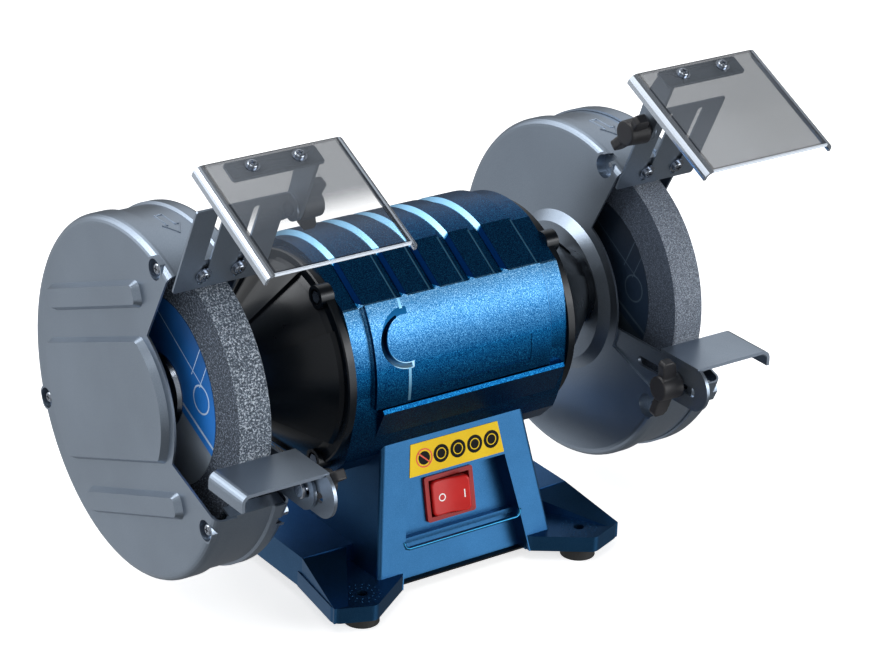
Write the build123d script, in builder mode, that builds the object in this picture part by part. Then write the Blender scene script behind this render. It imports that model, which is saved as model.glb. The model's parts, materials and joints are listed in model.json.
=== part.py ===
from build123d import *
import math
import os

# Bench grinder with two 200 mm wheels.  Millimetres, +Z up, +X along the shaft to the right-hand
# wheel, -Y towards the user.  The origin is on the bench, at the middle of the four bench bolts.
# The right-hand pieces are modelled and the left-hand ones are their mirror images.

os.makedirs("parts", exist_ok=True)

# ---------------------------------------------------------------- driving dimensions
SHAFT_Z = 165.4                 # height of the shaft above the bench

# wheels
WHEEL_R = 100.0
WHEEL_X = (172.4, 197.4)        # inner and outer face
WHEEL_BORE_R = 16.0
LABEL_R = 68.0
LABEL_T = 0.4
FLANGE_R = 26.0

# guards: drums set behind and below the shaft, symmetric about an axis that looks up and forward
GUARD_Y = 20.4
GUARD_Z = 154.2
GUARD_TILT = 21.5
GUARD_R = 130.3                 # cover skirt and pan bead
SKIRT_R = 128.4                 # pan skirt, which slides inside the cover's
GUARD_X = (158.7, 218.3)        # inner and outer face
COVER_SKIRT_X = 201.3           # inner end of the cover's skirt
COVER_ROUND = 7.0               # radius between the cover's face and its skirt
PAN_ROUND = 6.0                 # the same on the pan
PAN_SKIRT_X = 208.0             # outer end of the pan's skirt
SHEET = 1.6
MOUTH_HALF = 40.0               # half angle of the mouth
MOUTH_R = 69.5                  # inner arc of the mouth
COVER_SCREW_R = 121.8
COVER_SCREW_ANGLES = (47.2, -47.2, 180.0)

# motor
HOUSING_X = 91.0
BORE_R = 69.5
STACK_X = 45.0
BEARING_X = (136.6, 150.6)
BEARING_R = 23.5
JOURNAL_R = 9.95
NOSE_X = 153.2
BOLT_CIRCLE = 74.3
BOLT_ANGLE = 57.0               # through bolts, above and below the level of the shaft

# pedestal
BASE_Z = 9.5                    # underside of the base, on its rubber feet
PILLAR_TOP = (61.0, 67.1, 114.8)
PILLAR_FOOT = (77.4, 90.6, BASE_Z)
PAD_Z = 21.4                    # top of the foot pads
PLATFORM_Z = 34.0               # top of the side platforms
FOOT_XY = (95.2, 96.7)
FOOT_R = 12.9
BENCH_HOLE_R = 4.0

# front panel: leans back towards its top edge
PANEL_TOP = (0.0, -68.0, 110.8)
PANEL_LEAN = math.degrees(math.atan2(PILLAR_FOOT[1] - PILLAR_TOP[1], PILLAR_TOP[2] - PILLAR_FOOT[2]))

# tool rests
REST_Z = 153.3
REST_X = (156.8, 224.5)
REST_Y = (-146.2, -103.9)
REST_BOLT_Y = -122.5
REST_BOLT_Z = 132.5
REST_SHEET = 2.5
REST_STRIP_X = 160.3

# spark plates and eye shields
SPARK_FOOT = (-50.35, 260.0)    # lower edge of the plate, as y and z
SPARK_LEAN = 65.0               # angle of the plate above the horizontal
SPARK_X = (149.5, 220.0)
SPARK_H = 76.0
SPARK_MID_X = 186.2
SPARK_SLOT_DX = 13.6
SPARK_SCREW_H = 13.0
PIVOT_Y = -83.0
PIVOT_Z = 318.0
SHIELD_BACK = (-98.3, 368.0)    # upper surface at the back edge, as y and z
SHIELD_DIP = 26.0               # slope of the shield down to the front
SHIELD_X = (118.0, 231.5)
SHIELD_LEN = 98.0
SHIELD_T = 2.0
SHIELD_SCREW_X = (158.1, 193.6)

# ---------------------------------------------------------------- planes and axes
SHAFT_AXIS = Axis((0, 0, SHAFT_Z), (1, 0, 0))
GUARD_AXIS = Axis((0, GUARD_Y, GUARD_Z), (1, 0, 0))
SHAFT_PROFILE = Plane(origin=(0, 0, SHAFT_Z), x_dir=(1, 0, 0), z_dir=(0, -1, 0))
GUARD_PROFILE = Plane(origin=(0, GUARD_Y, GUARD_Z), x_dir=(1, 0, 0), z_dir=(0, -1, 0))


def across(x):
    """Plane square to the shaft at x, with local Y and Z."""
    return Plane.YZ.offset(x)


def on_shaft(x):
    """Plane square to the shaft at x, centred on it."""
    return Plane(origin=(x, 0, SHAFT_Z), x_dir=(0, 1, 0), z_dir=(1, 0, 0))


def on_guard(x):
    """Plane square to the shaft at x, centred on the guard, local X along its forward axis."""
    tilt = math.radians(GUARD_TILT)
    forward = (0, -math.cos(tilt), math.sin(tilt))
    return Plane(origin=(x, GUARD_Y, GUARD_Z), x_dir=forward, z_dir=(-1, 0, 0))


def on_panel(depth):
    """Front panel's plane, set in by depth, local Y up the panel from its top edge."""
    lean = math.radians(PANEL_LEAN)
    out = Vector(0, -math.cos(lean), math.sin(lean))
    return Plane(origin=Vector(*PANEL_TOP) - out * depth, x_dir=(1, 0, 0), z_dir=out)


def on_spark(depth):
    """Spark plate's front plane, set back by depth, local Y up the plate from its lower edge."""
    lean = math.radians(SPARK_LEAN)
    out = Vector(0, -math.sin(lean), -math.cos(lean))
    return Plane(origin=Vector(0, *SPARK_FOOT) - out * depth, x_dir=(1, 0, 0), z_dir=out)


def on_shield(drop):
    """Shield's upper surface, lowered by drop, local Y from the back edge to the front."""
    dip = math.radians(SHIELD_DIP)
    up = Vector(0, -math.sin(dip), math.cos(dip))
    return Plane(origin=Vector(0, *SHIELD_BACK) - up * drop, x_dir=(-1, 0, 0), z_dir=up)


# ---------------------------------------------------------------- shared makers
def save(part, name):
    part.label = name
    export_step(part, f"parts/{name}.step")


def save_pair(part, name):
    """Write the right-hand piece and its mirror image."""
    save(part, "right_" + name)
    save(mirror(part, about=Plane.YZ), "left_" + name)


def turned(points, plane=SHAFT_PROFILE, axis=SHAFT_AXIS):
    """Solid of revolution from its half outline, given as distance along X and radius."""
    with BuildPart() as body:
        with BuildSketch(plane):
            with BuildLine():
                Polyline(*points, close=True)
            make_face()
        revolve(axis=axis)
    return body.part


def tube(x0, x1, r_in, r_out):
    """Ring on the shaft axis."""
    with BuildPart() as body:
        with BuildSketch(on_shaft(x0)):
            Circle(r_out)
            if r_in:
                Circle(r_in, mode=Mode.SUBTRACT)
        extrude(amount=x1 - x0)
    return body.part


def bent_sheet(path, thickness):
    """Closed outline of a sheet that follows path, with its thickness to the path's right."""
    points = [Vector(*p) for p in path]
    inner = []
    for i, here in enumerate(points):
        before = (here - points[max(i - 1, 0)]) if i else (points[1] - here)
        after = (points[min(i + 1, len(points) - 1)] - here) if i < len(points) - 1 else before
        n0 = Vector(before.Y, -before.X).normalized()
        n1 = Vector(after.Y, -after.X).normalized()
        mitre = (n0 + n1) * (1 / (1 + n0.dot(n1)))
        inner.append(here + mitre * thickness)
    return [(p.X, p.Y) for p in points] + [(p.X, p.Y) for p in reversed(inner)]


def arc_points(cx, cy, r, a0, a1, steps=5):
    """Points on an arc, for the rounded bends of sheet outlines."""
    angles = [math.radians(a0 + (a1 - a0) * i / steps) for i in range(steps + 1)]
    return [(cx + r * math.cos(a), cy + r * math.sin(a)) for a in angles]


def screw(plane, head_r, head_h, shank_r, shank_l, washer_r=0.0, washer_t=0.0):
    """Cross-head screw whose head stands on plane, with an optional washer, shank going in."""
    with BuildPart() as body:
        with BuildSketch(plane.offset(washer_t)):
            Circle(head_r)
        extrude(amount=head_h)
        fillet(body.faces().sort_by(Axis(plane.origin, plane.z_dir))[-1].edges(), head_h * 0.6)
        with BuildSketch(plane.offset(washer_t + head_h * 0.35)):
            Rectangle(head_r * 1.1, head_r * 0.24)
            Rectangle(head_r * 0.24, head_r * 1.1)
        extrude(amount=head_h, mode=Mode.SUBTRACT)
        with BuildSketch(plane.offset(washer_t)):
            Circle(shank_r)
        extrude(amount=-(shank_l + washer_t))
        if washer_r:
            with BuildSketch(plane):
                Circle(washer_r)
            extrude(amount=washer_t)
    return body.part


# ---------------------------------------------------------------- motor housing
FACET = ((25.1, 77.3), (59.8, 55.6))        # ends of the flat facet in front of the crown
CROWN_Z = 82.55
CROWN_BACK = ((34.0, 77.6), (47.4, 71.4), (59.4, 62.9))     # round the crown, behind its top
FRONT_MID = (73.2, 27.0)
REAR_MID = (74.2, 31.0)
BELLY = (76.4, -5.0)
WAIST = (64.3, -57.5)
KEEL = (50.0, -71.5)
KEEL_Z = -84.0
BAND_RAISE = 3.2
PANEL_RAISE = 2.8
BANDS = ((-79.0, -45.4), (-42.3, -16.7), (-14.6, 12.0), (15.2, 38.6), (43.9, 75.8))
FLANK = 3.0
PANEL_SPAN = (-77.0, 77.0)
SHELF_SPAN = (-70.0, 86.0)
SHELF = ((70.0, -13.0), (80.6, -15.2), (82.0, -18.0), (69.0, -44.5), (64.4, -57.0), (55.0, -57.0))


def crown_line(k):
    """Top of the housing's section, from its front corner over the crown to its rear corner."""
    front, top, back = ((-k * FACET[0][0], k * FACET[0][1]), (0, k * CROWN_Z),
                        [(k * y, k * z) for y, z in CROWN_BACK])
    with BuildLine() as line:
        Line((-k * FACET[1][0], k * FACET[1][1]), front)
        ThreePointArc(front, top, back[0])
        ThreePointArc(*back)
    return line.line


def housing_outline():
    """Housing section square to the shaft, with the front at negative X."""
    (front_y, front_z), (rear_y, rear_z) = FACET[1], CROWN_BACK[2]
    with BuildSketch() as outline:
        with BuildLine():
            add(crown_line(1.0))
            ThreePointArc((rear_y, rear_z), REAR_MID, BELLY)
            ThreePointArc(BELLY, (73.4, -32.0), WAIST)
            Line(WAIST, KEEL)
            ThreePointArc(KEEL, (0, KEEL_Z), (-KEEL[0], KEEL[1]))
            Line((-KEEL[0], KEEL[1]), (-WAIST[0], WAIST[1]))
            ThreePointArc((-WAIST[0], WAIST[1]), (-73.4, -32.0), (-BELLY[0], BELLY[1]))
            ThreePointArc((-BELLY[0], BELLY[1]), (-FRONT_MID[0], FRONT_MID[1]), (-front_y, front_z))
        make_face()
    return outline.sketch_local


def crown_outline(grow):
    """Upper part of the section, from corner to corner, raised by grow."""
    k = 1 + grow / CROWN_Z
    with BuildSketch() as outline:
        with BuildLine():
            add(crown_line(k))
            Polyline((k * CROWN_BACK[2][0], k * CROWN_BACK[2][1]), (46.0, 56.0), (-46.0, 56.0),
                     (k * -FACET[1][0], k * FACET[1][1]))
        make_face()
    return outline.sketch_local


def flank_outline(side, grow):
    """Front or rear panel section, raised by grow, from the crown's corner down to the shelf."""
    k = 1 + grow / BELLY[0]
    (top_y, top_z), (mid_y, mid_z) = (CROWN_BACK[2], REAR_MID) if side > 0 else (FACET[1], FRONT_MID)
    foot = (side * (BELLY[0] + grow - 0.3), -14.0)
    with BuildSketch() as outline:
        with BuildLine():
            ThreePointArc((side * k * top_y, k * top_z), (side * k * mid_y, k * mid_z), foot)
            Polyline(foot, (side * 70.6, -14.0), (side * 55.0, 54.0), (side * k * top_y, k * top_z))
        make_face()
    return outline.sketch_local


def raised(low, high, x0, x1):
    """Raised area with sloping ends between x0 and x1, from its low and high outlines."""
    with BuildPart() as body:
        for x, outline in ((x0, low), (x0 + FLANK, high), (x1 - FLANK, high), (x1, low)):
            with BuildSketch(on_shaft(x)):
                add(outline)
        loft(ruled=True)
    return body.part


def housing_core(grow=0.0):
    """Solid housing without its bore, with its shelves, used to shape what holds it."""
    with BuildPart() as core:
        with BuildSketch(on_shaft(-HOUSING_X - grow)):
            add(housing_outline())
            if grow:
                offset(amount=grow)
        extrude(amount=2 * (HOUSING_X + grow))
        for side in (-1, 1):
            with BuildSketch(on_shaft(SHELF_SPAN[0])):
                Polygon(*[(side * y, z) for y, z in SHELF], align=None)
            extrude(amount=SHELF_SPAN[1] - SHELF_SPAN[0])
    return core.part


def bolt_spots(radius):
    """Through bolt centres, as Y and Z from the shaft."""
    a = math.radians(BOLT_ANGLE)
    return [(sy * radius * math.cos(a), sz * radius * math.sin(a)) for sy in (-1, 1) for sz in (-1, 1)]


housing_solid = housing_core()

# raised strip with a round bite in its right-hand edge
BITE_LEAN = math.radians(24.4)
with BuildPart() as panel_strip:
    with BuildSketch(on_shaft(-75.6)):
        add(flank_outline(-1, PANEL_RAISE + 1.3))
    extrude(amount=30.6)
    with BuildSketch(Plane(origin=(-44.5, -40.0, SHAFT_Z + 18.2), x_dir=(1, 0, 0),
                           z_dir=(0, -math.cos(BITE_LEAN), math.sin(BITE_LEAN)))):
        Circle(15.0)
    extrude(amount=60.0, mode=Mode.SUBTRACT)

FIELD = PANEL_RAISE + 0.9                   # level of the front panel's field, right of its step
SPOT_R = 17.2
SPOT_PLANE = Plane(origin=(-47.6, -76.0, SHAFT_Z + 32.5), x_dir=(1, 0, 0),
                   z_dir=(0, -math.cos(math.radians(16)), math.sin(math.radians(16))))

with BuildPart() as front_panel:
    for x, level in ((PANEL_SPAN[0], -0.3), (PANEL_SPAN[0] + FLANK, PANEL_RAISE), (-49.5, PANEL_RAISE),
                     (-46.9, FIELD), (PANEL_SPAN[1] - FLANK, FIELD), (PANEL_SPAN[1], -0.3)):
        with BuildSketch(on_shaft(x)):
            add(flank_outline(-1, level))
    loft(ruled=True)

with BuildPart() as round_spot:
    add(raised(flank_outline(-1, FIELD), flank_outline(-1, FIELD + 0.2), -72.0, -20.0))
    with Locations(SPOT_PLANE.location):
        Cylinder(SPOT_R, 14.0, mode=Mode.INTERSECT)

with BuildPart() as spot_scoop:
    with Locations(SPOT_PLANE.offset(-1.6).location):
        Cone(SPOT_R - 0.8, SPOT_R + 6.4, 4.8)
        Cylinder(SPOT_R - 0.2, 8.0, mode=Mode.SUBTRACT)
    with BuildSketch(SPOT_PLANE.offset(-5.0)):
        Polygon((-8.0, 26.0), (3.2, -26.0), (40.0, -26.0), (40.0, 26.0), align=None)
    extrude(amount=8.0, mode=Mode.SUBTRACT)

with BuildPart() as rating_recess:
    with BuildSketch(Plane(origin=(16.4, -90.0, SHAFT_Z + 4.2), x_dir=(1, 0, 0), z_dir=(0, -1, 0))):
        RectangleRounded(80.0, 19.6, 1.0)
    extrude(amount=-16.0)
    add(raised(flank_outline(-1, FIELD - 0.5), flank_outline(-1, FIELD - 0.45), -30.0, 62.0),
        mode=Mode.SUBTRACT)

with BuildPart() as motor_housing:
    add(housing_solid)
    for x0, x1 in BANDS:
        add(raised(crown_outline(-0.3), crown_outline(BAND_RAISE), x0, x1))
    add(raised(flank_outline(1, -0.3), flank_outline(1, PANEL_RAISE), *PANEL_SPAN))
    add(front_panel.part)
    # raised strip at the left end of the front panel
    add(panel_strip.part)
    # blank round spot on the front panel, the scoop beside it and a shallow blank rating recess
    add(round_spot.part)
    add(spot_scoop.part, mode=Mode.SUBTRACT)
    add(rating_recess.part, mode=Mode.SUBTRACT)
    # bore for the stator, holes for the through bolts and a way for the wires
    with BuildSketch(on_shaft(-HOUSING_X)):
        Circle(BORE_R)
        with Locations(*bolt_spots(BOLT_CIRCLE)):
            Circle(2.8)
    extrude(amount=2 * HOUSING_X, mode=Mode.SUBTRACT)
    with BuildSketch(Plane.XY.offset(SHAFT_Z - 95.0)):
        with Locations((58.0, 0)):
            Circle(6.0)
    extrude(amount=40.0, mode=Mode.SUBTRACT)
save(motor_housing.part, "motor_housing")

# ---------------------------------------------------------------- motor internals
SLOTS = 24
with BuildPart() as stator_core:
    with BuildSketch(on_shaft(-STACK_X)):
        Circle(BORE_R)
        Circle(38.8, mode=Mode.SUBTRACT)
        with PolarLocations(50.0, SLOTS):
            Rectangle(17.0, 6.0, mode=Mode.SUBTRACT)
    extrude(amount=2 * STACK_X)
save(stator_core.part, "stator_core")

with BuildPart() as stator_windings:
    with BuildSketch(on_shaft(-STACK_X - 1.0)):
        with PolarLocations(50.0, SLOTS):
            Rectangle(16.0, 5.2)
    extrude(amount=2 * STACK_X + 2.0)
    for side in (-1, 1):
        with BuildSketch(SHAFT_PROFILE):
            with Locations((side * (STACK_X + 14.0), 53.0)):
                RectangleRounded(26.0, 22.0, 7.0)
        revolve(axis=SHAFT_AXIS)
save(stator_windings.part, "stator_windings")

with BuildPart() as rotor_core:
    with BuildSketch(on_shaft(-STACK_X)):
        Circle(38.2)
        Circle(15.0, mode=Mode.SUBTRACT)
        with PolarLocations(33.0, 28):
            Circle(1.6, mode=Mode.SUBTRACT)
    extrude(amount=2 * STACK_X)
    for side in (-1, 1):
        with BuildSketch(on_shaft(side * (STACK_X + 4.0))):
            Circle(38.0)
            Circle(27.0, mode=Mode.SUBTRACT)
        extrude(amount=8.0, both=True)
save(rotor_core.part, "rotor_core")

shaft = turned([(-216.0, 0), (-216.0, 7.4), (-215.0, 8.4), (-203.4, 8.4), (-203.4, JOURNAL_R),
                (-130.0, JOURNAL_R), (-130.0, 12.0), (-60.0, 12.0), (-60.0, 15.0), (60.0, 15.0),
                (60.0, 12.0), (130.0, 12.0), (130.0, JOURNAL_R), (203.4, JOURNAL_R),
                (203.4, 8.4), (215.0, 8.4), (216.0, 7.4), (216.0, 0)])
save(shaft, "shaft")

with BuildPart() as bearing:
    add(tube(*BEARING_X, JOURNAL_R + 0.05, 13.6))
    add(tube(*BEARING_X, 19.8, BEARING_R))
    add(tube(BEARING_X[0] + 1.2, BEARING_X[1] - 1.2, 13.5, 19.9))
save_pair(bearing.part, "bearing")

# ---------------------------------------------------------------- end bells
BELL_OUT = ((91.0, 79.0), (96.6, 79.0), (97.4, 78.0), (97.4, 73.0), (100.5, 71.5), (143.5, 33.6),
            (147.0, 29.6), (153.2, 29.0))
BELL_IN = ((153.2, 13.0), (150.6, 13.0), (150.6, BEARING_R), (136.6, BEARING_R), (136.6, 31.0),
           (98.0, 63.4), (91.0, 63.4))
BELL_LOW = ((91.0, 79.0), (96.6, 79.0), (97.4, 78.0), (97.4, 71.0), (100.5, 67.6), (143.5, 31.6),
            (147.0, 29.2), (153.2, 29.0))
# raised panels between the bolts, as half spread and middle angle about the shaft
BELL_PANELS = ((36.0, 0.0), (36.0, 180.0), (12.0, 90.0), (12.0, 270.0))


def bell_panel(half, middle):
    """Part of the bell's full-height cone within half an angle of middle."""
    with BuildPart() as panel:
        add(turned(BELL_OUT + BELL_IN))
        with BuildSketch(on_shaft(96.0)):
            spread = [math.radians(middle + k * half) for k in (-1, -0.5, 0, 0.5, 1)]
            Polygon((0, 0), *[(120 * math.cos(a), 120 * math.sin(a)) for a in spread], align=None)
            Circle(29.6, mode=Mode.SUBTRACT)
        extrude(amount=50.0, mode=Mode.INTERSECT)
    return panel.part


with BuildPart() as end_bell:
    add(turned(BELL_LOW + BELL_IN))
    # ears and counterbored pockets for the through bolts
    with BuildSketch(on_shaft(91.0)):
        with Locations(*bolt_spots(BOLT_CIRCLE)):
            Circle(8.4)
    extrude(amount=10.4)
    for half, middle in BELL_PANELS:
        add(bell_panel(half, middle))
    with BuildSketch(on_shaft(91.0)):
        with Locations(*bolt_spots(BOLT_CIRCLE)):
            Circle(2.8)
    extrude(amount=30.0, mode=Mode.SUBTRACT)
    with BuildSketch(on_shaft(97.6)):
        with Locations(*bolt_spots(BOLT_CIRCLE)):
            Circle(5.8)
    extrude(amount=30.0, mode=Mode.SUBTRACT)
save_pair(end_bell.part, "end_bell")

with BuildPart() as through_bolts:
    for y, z in bolt_spots(BOLT_CIRCLE):
        with BuildSketch(Plane(origin=(-97.6, y, SHAFT_Z + z), x_dir=(0, 1, 0), z_dir=(1, 0, 0))):
            Circle(2.5)
        extrude(amount=195.2)
        for side in (-1, 1):
            with BuildSketch(Plane(origin=(side * 97.6, y, SHAFT_Z + z), x_dir=(0, 1, 0),
                                   z_dir=(side, 0, 0))):
                RegularPolygon(4.6, 6)
            extrude(amount=3.4)
save(through_bolts.part, "through_bolts")

# ---------------------------------------------------------------- pedestal
FOOT_PAD = ((54.3, 89.2), (95.9, 117.2), (125.0, 106.0), (116.5, 46.0), (56.0, 46.0))
SHOULDER_FOOT = ((113.5, 107.0), (124.4, 106.0))
SHOULDER_TOP = ((76.0, 46.0), (116.0, 51.0))
WALL = 5.0
RECESS_DEPTH = 15.0
LOWER_DEPTH = 13.0
SWITCH_V = -48.5                # centre of the switch, down the panel from its top edge
COVER_BOSSES = ((64.5, 75.0), (-64.5, 75.0), (64.5, -75.0), (-64.5, -75.0))
CROWN = 135.0


def half_size(z, inset_x, inset_y):
    """Half width and depth of the tapering pedestal at height z."""
    k = (PILLAR_TOP[2] - z) / (PILLAR_TOP[2] - PILLAR_FOOT[2])
    half_x = PILLAR_TOP[0] + k * (PILLAR_FOOT[0] - PILLAR_TOP[0])
    half_y = PILLAR_TOP[1] + k * (PILLAR_FOOT[1] - PILLAR_TOP[1])
    return half_x - inset_x, half_y - inset_y


def tapered(z0, z1, inset_x, front, rear, corner):
    """Tapered block following the pedestal's sides, set in from its faces."""
    with BuildPart() as block:
        for z in (z0, z1):
            half_x, half_y = half_size(z, inset_x, 0)
            with BuildSketch(Plane.XY.offset(z)):
                with Locations((0, (front - rear) / 2)):
                    RectangleRounded(2 * half_x, 2 * half_y - front - rear, corner)
        loft(ruled=True)
    return block.part


def shoulder(sx, sy):
    """Wedge that rises from the outer edge of a foot pad to the side platform."""
    with BuildPart() as wedge:
        for (x0, y0), (x1, y1), top in (SHOULDER_FOOT + (PAD_Z,), SHOULDER_TOP + (PLATFORM_Z,)):
            along = Vector(sx * (x1 - x0), sy * (y1 - y0), 0)
            face = Plane(origin=(sx * x0, sy * y0, BASE_Z), x_dir=along, z_dir=along.cross(Vector(0, 0, 1)))
            with BuildSketch(face):
                Polygon((0, 0), (along.length, 0), (along.length, top - BASE_Z), (0, top - BASE_Z),
                        align=None)
        loft(ruled=True)
    return wedge.part


housing_seat = housing_core(4.0)
pedestal_core = tapered(BASE_Z, CROWN, 0, 0, 0, 3.0)
pedestal_void = tapered(BASE_Z, CROWN, WALL, RECESS_DEPTH + 4.0, WALL, 3.0)
with BuildPart() as pedestal_room:
    add(pedestal_void)
    add(housing_seat, mode=Mode.SUBTRACT)

with BuildPart() as pedestal:
    add(pedestal_core)
    with BuildSketch(Plane.XY.offset(BASE_Z)):
        Rectangle(2 * 116.0, 2 * 51.5)
    extrude(amount=PLATFORM_Z - BASE_Z)
    for sx in (-1, 1):
        for sy in (-1, 1):
            # foot pad, with its corners rounded, and the shoulder sloping up to the platform
            with BuildSketch(Plane.XY.offset(BASE_Z)):
                pad = Polygon(*[(sx * x, sy * y) for x, y in FOOT_PAD], align=None)
                fillet(pad.vertices().filter_by(lambda v: abs(v.Y) > 80), 7.0)
            extrude(amount=PAD_Z - BASE_Z)
            add(shoulder(sx, sy))
    add(housing_solid, mode=Mode.SUBTRACT)
    add(pedestal_room.part, mode=Mode.SUBTRACT)
    # open front between the pillars: switch recess above, wider panel below
    with BuildSketch(on_panel(0)):
        Polygon((-41.7, -26.3), (41.7, -26.3), (50.0, -70.2), (-50.0, -70.2), align=None)
    extrude(amount=-RECESS_DEPTH, mode=Mode.SUBTRACT)
    with BuildSketch(on_panel(0)):
        Polygon((-50.6, -73.8), (50.6, -73.8), (56.6, -110.0), (-56.6, -110.0), align=None)
    extrude(amount=-LOWER_DEPTH, mode=Mode.SUBTRACT)
    with BuildSketch(on_panel(0)):
        with Locations((0, -72.0)):
            Rectangle(101.0, 5.0)
    extrude(amount=-8.4, mode=Mode.SUBTRACT)
    # opening for the switch
    with BuildSketch(on_panel(RECESS_DEPTH - 1.0)):
        with Locations((0, SWITCH_V)):
            Rectangle(38.4, 31.0)
    extrude(amount=-8.0, mode=Mode.SUBTRACT)
    # hole for the supply gland in the rear wall, and the way for the wires up to the motor
    with BuildSketch(Plane(origin=(40.0, 60.0, 42.0), x_dir=(1, 0, 0), z_dir=(0, 1, 0))):
        Circle(6.6)
    extrude(amount=40.0, mode=Mode.SUBTRACT)
    with BuildSketch(Plane.XY.offset(50.0)):
        with Locations((58.0, 0)):
            Circle(6.0)
    extrude(amount=50.0, mode=Mode.SUBTRACT)
    # pockets under the side platforms
    with BuildSketch(Plane.XY.offset(BASE_Z)):
        with Locations((97.0, 0), (-97.0, 0)):
            Rectangle(30.0, 88.0)
    extrude(amount=PLATFORM_Z - BASE_Z - 5.0, mode=Mode.SUBTRACT)
    # bosses for the base cover's screws
    with BuildSketch(Plane.XY.offset(BASE_Z)):
        with Locations(*COVER_BOSSES):
            Rectangle(20.0, 24.0)
    extrude(amount=14.0)
    with BuildSketch(Plane.XY.offset(BASE_Z)):
        with Locations(*COVER_BOSSES):
            Circle(1.8)
    extrude(amount=13.0, mode=Mode.SUBTRACT)
    # bench bolt holes, counterbored below for the feet
    with BuildSketch(Plane.XY.offset(BASE_Z)):
        with GridLocations(2 * FOOT_XY[0], 2 * FOOT_XY[1], 2, 2):
            Circle(BENCH_HOLE_R)
    extrude(amount=30.0, mode=Mode.SUBTRACT)
    with BuildSketch(Plane.XY.offset(BASE_Z)):
        with GridLocations(2 * FOOT_XY[0], 2 * FOOT_XY[1], 2, 2):
            Circle(8.0)
    extrude(amount=3.5, mode=Mode.SUBTRACT)
save(pedestal.part, "pedestal")

with BuildPart() as rubber_feet:
    with BuildSketch(Plane.XY):
        with GridLocations(2 * FOOT_XY[0], 2 * FOOT_XY[1], 2, 2):
            Circle(FOOT_R)
    extrude(amount=BASE_Z, taper=4)
    with BuildSketch(Plane.XY.offset(BASE_Z)):
        with GridLocations(2 * FOOT_XY[0], 2 * FOOT_XY[1], 2, 2):
            Circle(7.9)
    extrude(amount=3.4)
    with BuildSketch(Plane.XY):
        with GridLocations(2 * FOOT_XY[0], 2 * FOOT_XY[1], 2, 2):
            Circle(BENCH_HOLE_R)
    extrude(amount=13.0, mode=Mode.SUBTRACT)
save(rubber_feet.part, "rubber_feet")

with BuildPart() as base_cover:
    with BuildSketch(Plane.XY.offset(BASE_Z - 1.5)):
        RectangleRounded(150.0, 164.0, 5.0)
        with Locations(*COVER_BOSSES):
            Circle(2.2, mode=Mode.SUBTRACT)
    extrude(amount=1.5)
save(base_cover.part, "base_cover")

with BuildPart() as base_cover_screws:
    for x, y in COVER_BOSSES:
        add(screw(Plane(origin=(x, y, BASE_Z - 1.5), x_dir=(1, 0, 0), z_dir=(0, 0, -1)),
                  3.8, 2.2, 1.75, 12.0))
save(base_cover_screws.part, "base_cover_screws")

with BuildPart() as label_plate:
    with BuildSketch(on_panel(0)):
        Polygon((-37.7, -0.6), (37.7, -0.6), (41.1, -24.2), (-41.1, -24.2), align=None)
    extrude(amount=0.5)
save(label_plate.part, "label_plate")

# ---------------------------------------------------------------- switch and wiring
BEZEL = 2.5
SLEEVE = 14.0
ROCKER_PIVOT = 4.0              # pivot behind the rocker's own datum
ROCKER_DEPTH = RECESS_DEPTH - BEZEL + 1.0
ROCKER_SWING = 12.0             # either side of the middle
ROCKER_HALF = 13.3
rocker_centre = on_panel(ROCKER_DEPTH + ROCKER_PIVOT).from_local_coords((0, SWITCH_V, 0))
rocker_plane = Plane(origin=rocker_centre, x_dir=(1, 0, 0), z_dir=on_panel(0).y_dir)

with BuildPart() as switch_frame:
    with BuildSketch(on_panel(RECESS_DEPTH)):
        with Locations((0, SWITCH_V)):
            RectangleRounded(42.0, 34.0, 2.0)
            Rectangle(35.2, 27.4, mode=Mode.SUBTRACT)
    extrude(amount=BEZEL)
    with BuildSketch(on_panel(RECESS_DEPTH)):
        with Locations((0, SWITCH_V)):
            Rectangle(38.0, 30.6)
            Rectangle(35.2, 27.4, mode=Mode.SUBTRACT)
    extrude(amount=-SLEEVE)
    with BuildSketch(rocker_plane):
        Circle(1.66)
    extrude(amount=16.0, both=True, mode=Mode.SUBTRACT)
save(switch_frame.part, "switch_frame")

with BuildPart() as rocker:
    with BuildSketch(rocker_plane):
        Polygon((-15.2, -10.3), (-15.2, -8.6), (-12.6, 4.0), (12.6, 4.0), (15.2, -8.6), (15.2, -10.3),
                (0, -7.0), rotation=-ROCKER_SWING, align=None)
    extrude(amount=ROCKER_HALF, both=True)
    with BuildSketch(rocker_plane):
        Circle(1.6)
    extrude(amount=15.2, both=True)
save(rocker.part, "rocker")

with BuildPart() as switch_body:
    with BuildSketch(on_panel(RECESS_DEPTH + SLEEVE)):
        with Locations((0, SWITCH_V)):
            Rectangle(38.0, 30.6)
    extrude(amount=-12.0)
    with BuildSketch(on_panel(RECESS_DEPTH + SLEEVE + 12.0)):
        with Locations(*[(x, SWITCH_V + y) for x in (-9.0, 9.0) for y in (-7.0, 7.0)]):
            Rectangle(0.8, 6.3)
    extrude(amount=-8.0)
save(switch_body.part, "switch_body")

CAN_R = 17.5
with BuildPart() as run_capacitor:
    with BuildSketch(Plane(origin=(-38.0, 36.0, BASE_Z + CAN_R + 1.5), x_dir=(0, 1, 0), z_dir=(1, 0, 0))):
        Circle(CAN_R)
    extrude(amount=62.0)
    fillet(run_capacitor.edges().filter_by(GeomType.CIRCLE), 2.0)
    with BuildSketch(Plane.XY.offset(BASE_Z)):
        with Locations((-7.0, 36.0)):
            Rectangle(22.0, 28.0)
    extrude(amount=8.0)
    with BuildSketch(Plane(origin=(24.0, 36.0, BASE_Z + CAN_R + 1.5), x_dir=(0, 1, 0), z_dir=(1, 0, 0))):
        with Locations((-6.0, 0), (6.0, 0)):
            Rectangle(0.8, 6.3)
    extrude(amount=8.0)
save(run_capacitor.part, "run_capacitor")

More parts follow.
